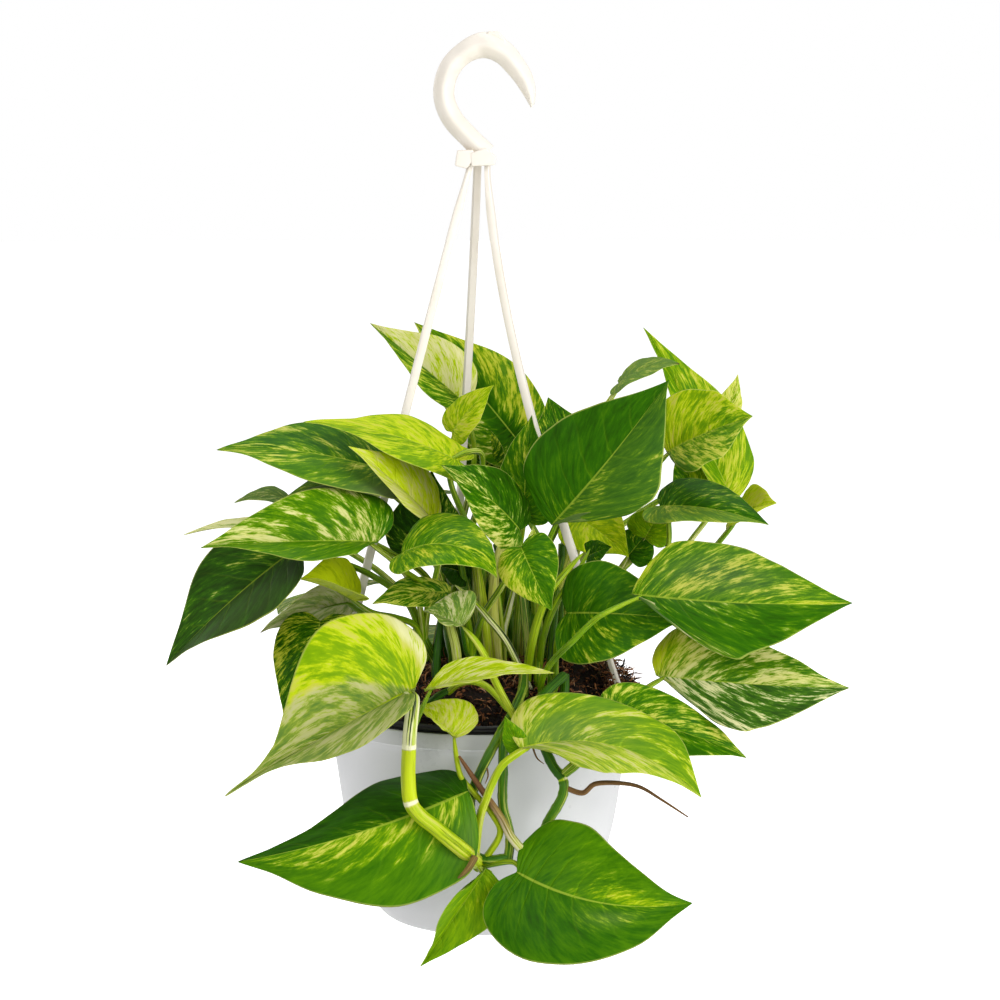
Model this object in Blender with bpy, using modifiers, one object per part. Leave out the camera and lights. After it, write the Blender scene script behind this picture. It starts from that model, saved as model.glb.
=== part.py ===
# Variegated pothos in a white hanging pot with a moulded hook, three hanger arms, and trailing vines.
# Metres, +Z up. The origin is the seat inside the hook's crown, and the plant's front looks along -Y.

import math

import bmesh
import bpy
from mathutils import Matrix, Vector, noise

# Driving sizes in millimetres
MM = 0.001
RIM_RADIUS = 77.5
RIM_DROP = 324.0  # hook seat down to the plane of the pot's rim
POT_HEIGHT = 110.0
POT_WALL = 1.6
LIP_HEIGHT = 8.0
GAP = 0.3  # clearance between pieces that touch
FLAT_SAG = 0.4  # how far the flats of the turned wall stand inside its radius
GROW_RADIUS = 72.4  # black grow pot that stands inside the white one
GROW_RISE = 3.4  # how far its rim stands over the white one
GROW_WALL = 1.0
SOIL_EDGE = -9.0  # height of the soil where it meets the grow pot
SOIL_CROWN = 17.0  # height of the mound's middle over the rim
STEM_DEPTH = 34.0  # how far a stem reaches down into its hole
HOLE_CLEARANCE = 0.5
ARM_ANGLES = (-15.0, 103.0, 194.0)
ARM_BOWS = (11.0, 4.0, -1.0)  # how far each arm bends in towards the middle
ARM_START = 4.2  # radius at the hub
ARM_WIDTH = 4.2
ARM_THICK = 1.8
CLIP_WIDTH = 8.0
HUB_HEIGHT = -50.0
BLADE_THICK = 0.75
PETIOLE_RADIUS = 1.6
STEM_RADIUS = 2.4
STALK_POINTS = 5
CRUMB_VERTICES = 12  # a loose body with fewer vertices is a speck

# The eye that the leaves were placed from: a photograph 1000 pixels square of the hanging plant
EYE_DISTANCE = 1300.0
EYE_RISE = 276.3  # over the rim
EYE_TILT = math.radians(7.556)
EYE_FOCAL = 2599.0  # pixels
PICTURE_MIDDLE = 500.0
POT_PIXEL = 480.0  # where the pot's axis shows
EYE_SIDE = (PICTURE_MIDDLE - POT_PIXEL) * 0.51

# Half a heart-shaped blade's outline, from the sinus round the lobe to the tip: how far along the
# length it lies, how far out, and where on the midrib the vein that ends there starts
EDGE_ALONG = (0.0, -0.11, -0.12, -0.02, 0.20, 0.45, 0.69, 0.87, 1.0)
EDGE_OUT = (0.0, 0.30, 0.68, 0.92, 1.0, 0.86, 0.54, 0.20, 0.0)
EDGE_SLOPE = (0.0, 0.12, 0.18, 0.16, 0.12, 0.05, 0.0, 0.0, 0.0)  # what a half with no lobe adds to its length
BASE_PINCH = 0.45  # how much narrower a wedge-shaped half is by its base
VEIN_START = (0.0, 0.0, 0.02, 0.05, 0.14, 0.30, 0.52, 0.76, 1.0)


def clear_scene():
    for obj in list(bpy.data.objects):
        bpy.data.objects.remove(obj, do_unlink=True)


def new_collection(name):
    made = bpy.data.collections.new(name)
    bpy.context.scene.collection.children.link(made)
    return made


def principled(name, colour, roughness, metallic=0.0):
    made = bpy.data.materials.new(name)
    made.use_nodes = True
    made.diffuse_color = (*colour, 1.0)
    shader = made.node_tree.nodes["Principled BSDF"]
    shader.inputs["Base Color"].default_value = (*colour, 1.0)
    shader.inputs["Roughness"].default_value = roughness
    shader.inputs["Metallic"].default_value = metallic
    return made


def mesh_object(name, mesh, material, collection):
    obj = bpy.data.objects.new(name, mesh)
    mesh.materials.clear()
    mesh.materials.append(material)
    collection.objects.link(obj)
    return obj


def from_rim(x, y, z):
    """Millimetres right, back and up from the middle of the rim, as a point in metres."""
    return Vector((x, y, z - RIM_DROP)) * MM


def seen(pixel_x, pixel_y, depth):
    """The point that shows at this pixel and lies this many millimetres behind the pot's axis."""
    right = (pixel_x - PICTURE_MIDDLE) / EYE_FOCAL
    down = (pixel_y - PICTURE_MIDDLE) / EYE_FOCAL
    reach = (EYE_DISTANCE + depth) / (math.cos(EYE_TILT) - down * math.sin(EYE_TILT))
    height = EYE_RISE - reach * (math.sin(EYE_TILT) + down * math.cos(EYE_TILT))
    return from_rim(EYE_SIDE + reach * right, depth, height)


def smooth(values, t):
    """A Catmull-Rom curve through evenly spaced values, read at t from 0 to 1."""
    last = len(values) - 1
    place = min(max(t, 0.0), 1.0) * last
    i = min(int(place), last - 1)
    f = place - i
    a = values[max(i - 1, 0)]
    b, c = values[i], values[i + 1]
    d = values[min(i + 2, last)]
    return b + (c - a) * (0.5 * f) + (a * 2.0 - b * 5.0 + c * 4.0 - d) * (0.5 * f * f) + (
        (b - c) * 3.0 + d - a
    ) * (0.5 * f * f * f)


def solid_mesh(obj):
    """The object's evaluated shape as a closed mesh in world space, with the object removed."""
    graph = bpy.context.evaluated_depsgraph_get()
    mesh = bpy.data.meshes.new_from_object(obj.evaluated_get(graph))
    mesh.transform(obj.matrix_world)
    shape = bmesh.new()
    shape.from_mesh(mesh)
    bmesh.ops.remove_doubles(shape, verts=shape.verts, dist=1e-6)
    bmesh.ops.dissolve_degenerate(shape, edges=shape.edges, dist=1e-6)
    bmesh.ops.recalc_face_normals(shape, faces=shape.faces)
    if shape.calc_volume(signed=True) < 0.0:
        bmesh.ops.reverse_faces(shape, faces=shape.faces)
    shape.to_mesh(mesh)
    shape.free()
    bpy.data.objects.remove(obj, do_unlink=True)
    return mesh


def tube(name, points, radii, resolution=1):
    """A closed mesh tube along the points, with a radius in metres at each."""
    curve = bpy.data.curves.new(name, "CURVE")
    curve.dimensions = "3D"
    curve.bevel_depth = 1.0
    curve.bevel_resolution = resolution
    curve.render_resolution_u = 0
    curve.use_fill_caps = True
    spline = curve.splines.new("POLY")
    spline.points.add(len(points) - 1)
    for place, point, radius in zip(spline.points, points, radii):
        place.co = (*point, 1.0)
        place.radius = radius
    obj = bpy.data.objects.new(name, curve)
    bpy.context.scene.collection.objects.link(obj)
    bpy.context.view_layer.update()
    return solid_mesh(obj)


def curve_points(points, count):
    return [smooth(points, i / (count - 1)) for i in range(count)]


def drop_crumbs(mesh):
    """Removes the specks that a union of creased blades leaves beside its one large body."""
    shape = bmesh.new()
    shape.from_mesh(mesh)
    shape.verts.ensure_lookup_table()
    seen_vertices, bodies = set(), []
    for start in shape.verts:
        if start in seen_vertices:
            continue
        body, edge_of_body = {start}, [start]
        while edge_of_body:
            for edge in edge_of_body.pop().link_edges:
                for vertex in edge.verts:
                    if vertex not in body:
                        body.add(vertex)
                        edge_of_body.append(vertex)
        seen_vertices |= body
        bodies.append(body)
    bodies.sort(key=len)
    for body in bodies[:-1]:
        if len(body) < CRUMB_VERTICES:
            bmesh.ops.delete(shape, geom=list(body), context="VERTS")
    shape.to_mesh(mesh)
    shape.free()


def fuse(name, meshes, material, collection, solver="MANIFOLD"):
    """One object from overlapping closed meshes."""
    pieces = new_collection(name + "_pieces")
    for i, mesh in enumerate(meshes[1:]):
        pieces.objects.link(bpy.data.objects.new(f"{name}_piece_{i}", mesh))
    obj = mesh_object(name, meshes[0], material, collection)
    joined = obj.modifiers.new("joined", "BOOLEAN")
    joined.operation = "UNION"
    joined.operand_type = "COLLECTION"
    joined.collection = pieces
    joined.solver = solver
    bpy.context.view_layer.update()
    graph = bpy.context.evaluated_depsgraph_get()
    whole = bpy.data.meshes.new_from_object(obj.evaluated_get(graph))
    obj.modifiers.clear()
    obj.data = whole
    whole.materials.clear()
    whole.materials.append(material)
    drop_crumbs(whole)
    for piece in list(pieces.objects):
        bpy.data.objects.remove(piece, do_unlink=True)
    bpy.data.collections.remove(pieces)
    return obj


def cut(obj, meshes, cutters):
    """Takes the closed meshes out of the object."""
    for i, mesh in enumerate(meshes):
        tool = bpy.data.objects.new(f"{obj.name}_cutter_{i}", mesh)
        tool.hide_render = True
        tool.display_type = "WIRE"
        cutters.objects.link(tool)
        taken = obj.modifiers.new(f"cut_{i}", "BOOLEAN")
        taken.operation = "DIFFERENCE"
        taken.object = tool
        taken.solver = "EXACT"


def turned(name, profile, steps, material, collection):
    """A body turned round the pot's axis, from a profile of (radius, height over the rim) that runs down
    its outer side."""
    mesh = bpy.data.meshes.new(name)
    points = [from_rim(radius, 0.0, height) for radius, height in profile]
    edges = [(i, i + 1) for i in range(len(points) - 1)]
    if profile[0][0] > 0.0:
        edges.append((len(points) - 1, 0))
    mesh.from_pydata(points, edges, [])
    obj = mesh_object(name, mesh, material, collection)
    screw = obj.modifiers.new("turn", "SCREW")
    screw.steps = screw.render_steps = steps
    screw.use_merge_vertices = True
    screw.merge_threshold = 0.00001
    screw.use_smooth_shade = True
    return obj


def box_mesh(name, low, high, bevel=0.0):
    """A box between two corners in metres, its edges rounded by the bevel."""
    shape = bmesh.new()
    bmesh.ops.create_cube(shape, size=1.0)
    middle = (Vector(low) + Vector(high)) / 2
    size = Vector(high) - Vector(low)
    place = Matrix.Translation(middle) @ Matrix.Diagonal((*size, 1.0))
    bmesh.ops.transform(shape, matrix=place, verts=shape.verts)
    if bevel:
        bmesh.ops.bevel(shape, geom=shape.edges[:], offset=bevel, segments=2, profile=0.7, affect="EDGES")
    mesh = bpy.data.meshes.new(name)
    shape.to_mesh(mesh)
    shape.free()
    return mesh


def pot_radius(height):
    """Outer radius of the white pot's body at a height under the rim, in millimetres."""
    heights = (-8.0, -34.0, -60.0, -86.0)
    if height > heights[0]:
        return 75.8
    if height < heights[-1]:
        return 62.6
    return smooth((75.8, 72.6, 68.6, 62.6), (heights[0] - height) / (heights[0] - heights[-1]))


def make_pot(material, collection):
    outer = [(RIM_RADIUS - 0.8, 0.0), (RIM_RADIUS, -0.8), (RIM_RADIUS, -LIP_HEIGHT + 0.6)]
    outer += [(pot_radius(-LIP_HEIGHT) + 0.2, -LIP_HEIGHT), (pot_radius(-34), -34), (pot_radius(-60), -60)]
    outer += [(pot_radius(-84), -84), (57.6, -97), (50.5, -106.4), (42.0, -POT_HEIGHT)]
    inner = [(41.0, -POT_HEIGHT + POT_WALL + 1.0), (50.5, -103.2), (56.2, -95.6)]
    inner += [(pot_radius(h) - POT_WALL, h) for h in (-84, -34, -8)]
    inner += [(RIM_RADIUS - POT_WALL, -5.4), (RIM_RADIUS - POT_WALL, -1.0), (RIM_RADIUS - POT_WALL + 0.6, 0.0)]
    profile = outer + [(0.0, -POT_HEIGHT), (0.0, -POT_HEIGHT + POT_WALL + 1.0)] + inner
    return turned("pot", profile, 32, material, collection)


def grow_radius(height):
    """Outer radius of the grow pot, which tapers more than the white one."""
    return GROW_RADIUS + height * 0.19


def make_grow_pot(material, collection):
    floor = -POT_HEIGHT + POT_WALL + 1.0 + GAP
    heights = (-4.0, -80.0)
    outer = [(GROW_RADIUS - 0.3, GROW_RISE), (GROW_RADIUS + 0.6, GROW_RISE - 0.8), (GROW_RADIUS + 0.3, 0.0)]
    outer += [(grow_radius(h), h) for h in heights] + [(48.5, -94.0), (38.0, floor)]
    inner = [(37.5, floor + GROW_WALL), (47.2, -93.2)]
    inner += [(grow_radius(h) - GROW_WALL, h) for h in reversed(heights)]
    inner += [(GROW_RADIUS - GROW_WALL - 0.2, GROW_RISE - 0.3)]
    profile = outer + [(0.0, floor), (0.0, floor + GROW_WALL)] + inner
    return turned("grow_pot", profile, 28, material, collection)


def soil_height(x, y):
    """The mound's height over the rim, rough with crumbs of coir."""
    inside = math.hypot(x, y) / (GROW_RADIUS - 2.4)
    mound = SOIL_EDGE + (SOIL_CROWN - SOIL_EDGE) * max(0.0, 1.0 - inside**4.5)
    crumb = noise.noise(Vector((x * 0.11, y * 0.11, 3.1)))
    return mound + 2.2 * crumb * max(0.0, 1.0 - inside**6)


def make_soil(material, collection, cutters, stems):
    floor = -POT_HEIGHT + POT_WALL + 1.0 + GAP + GROW_WALL + GAP
    edge = grow_radius(SOIL_EDGE) - GROW_WALL - GAP
    top = [(0.0, SOIL_CROWN)] + [(edge * i / 6, 0.0) for i in range(1, 7)]
    side = [(grow_radius(-80.0) - GROW_WALL - GAP, -80.0), (46.6, -92.6), (37.0, floor)]
    obj = turned("soil", top + side + [(0.0, floor)], 28, material, collection)
    mesh = solid_mesh(obj)
    for vertex in mesh.vertices:
        x, y, z = vertex.co / MM
        if z + RIM_DROP > SOIL_EDGE - 1.0 and math.hypot(x, y) < edge + 1.0:
            vertex.co.z = (soil_height(x, y) - RIM_DROP) * MM
    obj = mesh_object("soil", mesh, material, collection)
    holes = []
    for x, y, radius in stems:
        top_point = from_rim(x, y, SOIL_CROWN + 20)
        bottom_point = from_rim(x, y, -STEM_DEPTH - 1.0)
        wide = (radius + HOLE_CLEARANCE) * MM
        holes.append(tube("hole", [bottom_point, top_point], [wide, wide], 2))
    cut(obj, holes, cutters)
    return obj


HOOK_PATH = (  # millimetres right of and over the seat, with the bar's radius
    (3.5, -47.0, 4.8),
    (-4.5, -39.5, 4.8),
    (-13.6, -29.4, 4.9),
    (-17.6, -18.0, 4.8),
    (-15.0, -6.0, 4.9),
    (-7.4, 2.4, 5.0),
    (2.6, 6.2, 5.9),
    (12.4, 1.6, 5.2),
    (20.6, -9.6, 3.6),
    (24.6, -18.0, 2.4),
    (25.8, -24.0, 0.9),
)
HUB_LOW = Vector((-12.0, -7.0, HUB_HEIGHT - 6.0))
HUB_HIGH = Vector((9.0, 7.0, HUB_HEIGHT + 3.5))


def arm_point(share, bow):
    """Radius and height of an arm's middle line, in millimetres, from the hub (0) down to the rim (1)."""
    top = HUB_HEIGHT - 3.0
    end = RIM_RADIUS - POT_WALL / 2 - 0.4
    radius = ARM_START + (end - ARM_START) * share - bow * math.sin(math.pi * share**0.8)
    height = top + (-RIM_DROP + 1.2 - top) * share
    return radius, height


def make_hook(material, collection, cutters):
    path = [Vector(point) for point in HOOK_PATH]
    points = curve_points(path, 22)
    centres = [Vector((p.x, 0.0, p.y)) * MM for p in points]
    bar = tube("hook_bar", centres, [p.z * MM for p in points], 2)
    hub = box_mesh("hub", HUB_LOW * MM, HUB_HIGH * MM, 1.6 * MM)
    ridge = box_mesh("ridge", Vector((-3.5, -2.2, 8.0)) * MM, Vector((9.5, 2.2, 13.0)) * MM, 1.5 * MM)
    obj = fuse("hook", [bar, hub, ridge], material, collection)
    slots = []
    for angle in ARM_ANGLES:
        radius, height = arm_point(0.0, 0.0)
        half = ARM_WIDTH / 2 + GAP
        deep = ARM_THICK / 2 + GAP + 0.9
        slot = box_mesh("slot", Vector((radius - deep, -half, HUB_HEIGHT - 12.0)) * MM,
                        Vector((radius + deep, half, height + GAP)) * MM)
        slot.transform(Matrix.Rotation(math.radians(angle), 4, "Z"))
        slots.append(slot)
    cut(obj, slots, cutters)
    return obj


def make_arm(index, angle, bow, material, collection):
    """A flat strip from the hub's slot to the rim, with a clip that straddles the pot's wall."""
    steps = 12
    middle = [arm_point(i / steps, bow) for i in range(steps + 1)]
    curve = bpy.data.curves.new("arm", "CURVE")
    curve.dimensions = "2D"
    curve.fill_mode = "BOTH"
    curve.extrude = ARM_WIDTH / 2 * MM
    curve.render_resolution_u = 0
    half = ARM_THICK / 2
    outline = [(r + half, z) for r, z in middle] + [(r - half, z) for r, z in reversed(middle)]
    spline = curve.splines.new("POLY")
    spline.points.add(len(outline) - 1)
    spline.use_cyclic_u = True
    for place, (r, z) in zip(spline.points, outline):
        place.co = (r * MM, z * MM, 0.0, 1.0)
    strip = bpy.data.objects.new("arm", curve)
    bpy.context.scene.collection.objects.link(strip)
    strip.rotation_euler = (math.radians(90), 0.0, 0.0)
    bpy.context.view_layer.update()
    strip_mesh = solid_mesh(strip)
    wall_out = RIM_RADIUS + GAP
    wall_in = RIM_RADIUS - POT_WALL - GAP - FLAT_SAG
    wide = CLIP_WIDTH / 2
    rim = -RIM_DROP
    bridge = box_mesh("bridge", Vector((wall_in - 1.3, -wide, rim + GAP)) * MM,
                      Vector((wall_out + 1.3, wide, rim + 2.4)) * MM)
    outside = box_mesh("outside", Vector((wall_out + 0.1, -wide, rim - 5.0)) * MM,
                       Vector((wall_out + 1.2, wide, rim + 1.6)) * MM)
    inside = box_mesh("inside", Vector((wall_in - 1.2, -wide, rim - 4.0)) * MM,
                      Vector((wall_in - 0.1, wide, rim + 1.6)) * MM)
    arm = fuse(f"hanger_arm_{index}", [strip_mesh, bridge, outside, inside], material, collection)
    arm.data.transform(Matrix.Rotation(math.radians(angle), 4, "Z"))
    return arm


class Blade:
    """A heart-shaped leaf blade between its base and its tip, bent by a few hand-chosen amounts."""

    def __init__(self, base, tip, width, face, fold=(12, 12), curl=25, arch=0.06, sweep=0.0, wave=0.05,
                 waves=2.0, lobe=(0.6, 0.6), taper=(0.0, 0.0)):
        self.base, self.tip = base, tip
        self.length = (tip - base).length
        self.axis = (tip - base).normalized()
        face = Vector(face)
        self.face = (face - self.axis * face.dot(self.axis)).normalized()
        self.side = self.axis.cross(self.face)
        self.half = width * MM / 2
        self.fold = [math.radians(angle) for angle in fold]
        self.curl = math.radians(curl)
        self.arch, self.sweep, self.wave, self.waves = arch, sweep, wave, waves
        self.lobe, self.taper = lobe, taper

    def midrib(self, along):
        """Place and direction of the midrib at a share of the length, run on straight before the base."""
        held = max(along, 0.0)
        bulge = 4 * held * (1 - held)
        bow = self.face * self.arch + self.side * self.sweep
        slope = self.axis + bow * 4 * (1 - 2 * held)
        place = self.base + (self.axis * held + bow * bulge) * self.length
        return place + slope * self.length * min(along, 0.0), slope.normalized()

    def point(self, u, v):
        """The point on the vein that leaves the midrib at u, at v from it: -1 and 1 are the margins."""
        share = abs(v)
        hand = 0 if v < 0 else 1
        start = smooth(VEIN_START, u)
        end = smooth(EDGE_ALONG, u) + smooth(EDGE_SLOPE, u) * (1 - self.lobe[hand])
        along = start + (end - start) * share**1.25
        out = max(smooth(EDGE_OUT, u), 0.0) ** (1 + self.taper[hand] * min(u, 3 * (1 - u))) * self.half * share
        out *= 1 + min(self.lobe[hand], 0.0) * BASE_PINCH * max(0.0, 1 - u * 1.8)
        place, ahead = self.midrib(along)
        up = (self.face - ahead * self.face.dot(ahead)).normalized()
        across = ahead.cross(up)
        rise = self.fold[hand]
        bend = self.curl / self.half
        lift = (math.cos(rise - bend * out) - math.cos(rise)) / bend
        reach = (math.sin(rise) - math.sin(rise - bend * out)) / bend
        ripple = math.sin(2 * math.pi * self.waves * u + (0.6 if hand else 2.4))
        lift += self.wave * self.half * share**2 * ripple * math.sin(math.pi * min(1.0, u * 1.05))
        return place + across * (reach if hand else -reach) + up * lift

    def mesh(self, rows, columns):
        shape = bmesh.new()
        bmesh.ops.create_grid(shape, x_segments=columns * 2, y_segments=rows, size=1.0)
        for vertex in shape.verts:
            vertex.co = self.point((vertex.co.y + 1) / 2, vertex.co.x)
        bmesh.ops.remove_doubles(shape, verts=shape.verts, dist=2e-5)
        bmesh.ops.triangulate(shape, faces=shape.faces)
        mesh = bpy.data.meshes.new("blade")
        shape.to_mesh(mesh)
        shape.free()
        obj = bpy.data.objects.new("blade", mesh)
        bpy.context.scene.collection.objects.link(obj)
        thick = obj.modifiers.new("thick", "SOLIDIFY")
        thick.thickness = BLADE_THICK * MM
        thick.offset = 0.0
        bpy.context.view_layer.update()
        return solid_mesh(obj)


def stalk_way(blade, root, via, lean):
    """The middle line of a leaf stalk, from its root into the blade's base."""
    base = blade.midrib(0.05)[0] - blade.face * 0.2 * MM
    if via:
        return curve_points([root] + list(via) + [base], 2 * len(via) + 3)
    distance = (base - root).length
    away = root + Vector((0.0, 0.0, distance * lean))
    arrive = base - blade.axis * distance * 0.22 - Vector((0.0, 0.0, distance * 0.16))
    points = []
    for i in range(STALK_POINTS):
        t = i / (STALK_POINTS - 1)
        near = root * (1 - t)**3 + away * (3 * t * (1 - t)**2)
        far = arrive * (3 * t * t * (1 - t)) + base * t**3
        points.append(near + far)
    return points


def stalk(item, root):
    points = stalk_way(item["blade"], root, item["via"], item["lean"])
    last = len(points) - 1
    return tube("stalk", points, [item["thick"] * MM * (1.15 - 0.3 * i / last) for i in range(last + 1)])


# Each leafy stem: where it stands in the soil (millimetres right and back of the pot's axis), the
# rest of its way as (right, back, over the rim), and its leaves. A leaf's root is a share of that way.
# A base or tip is (pixel right, pixel down, millimetres behind the pot's axis), or a place in
# millimetres from the rim's middle where the photograph doesn't show the leaf.

def leaf(name, base, tip, width, face, root=1.0, rows=6, columns=1, lean=0.4, thick=PETIOLE_RADIUS,
         hidden=False, via=(), **form):
    place = from_rim if hidden else seen
    return dict(name=name, blade=Blade(place(*base), place(*tip), width, face, **form), root=root, rows=rows,
                columns=columns, lean=lean, thick=thick, via=[seen(*point) for point in via])


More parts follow.
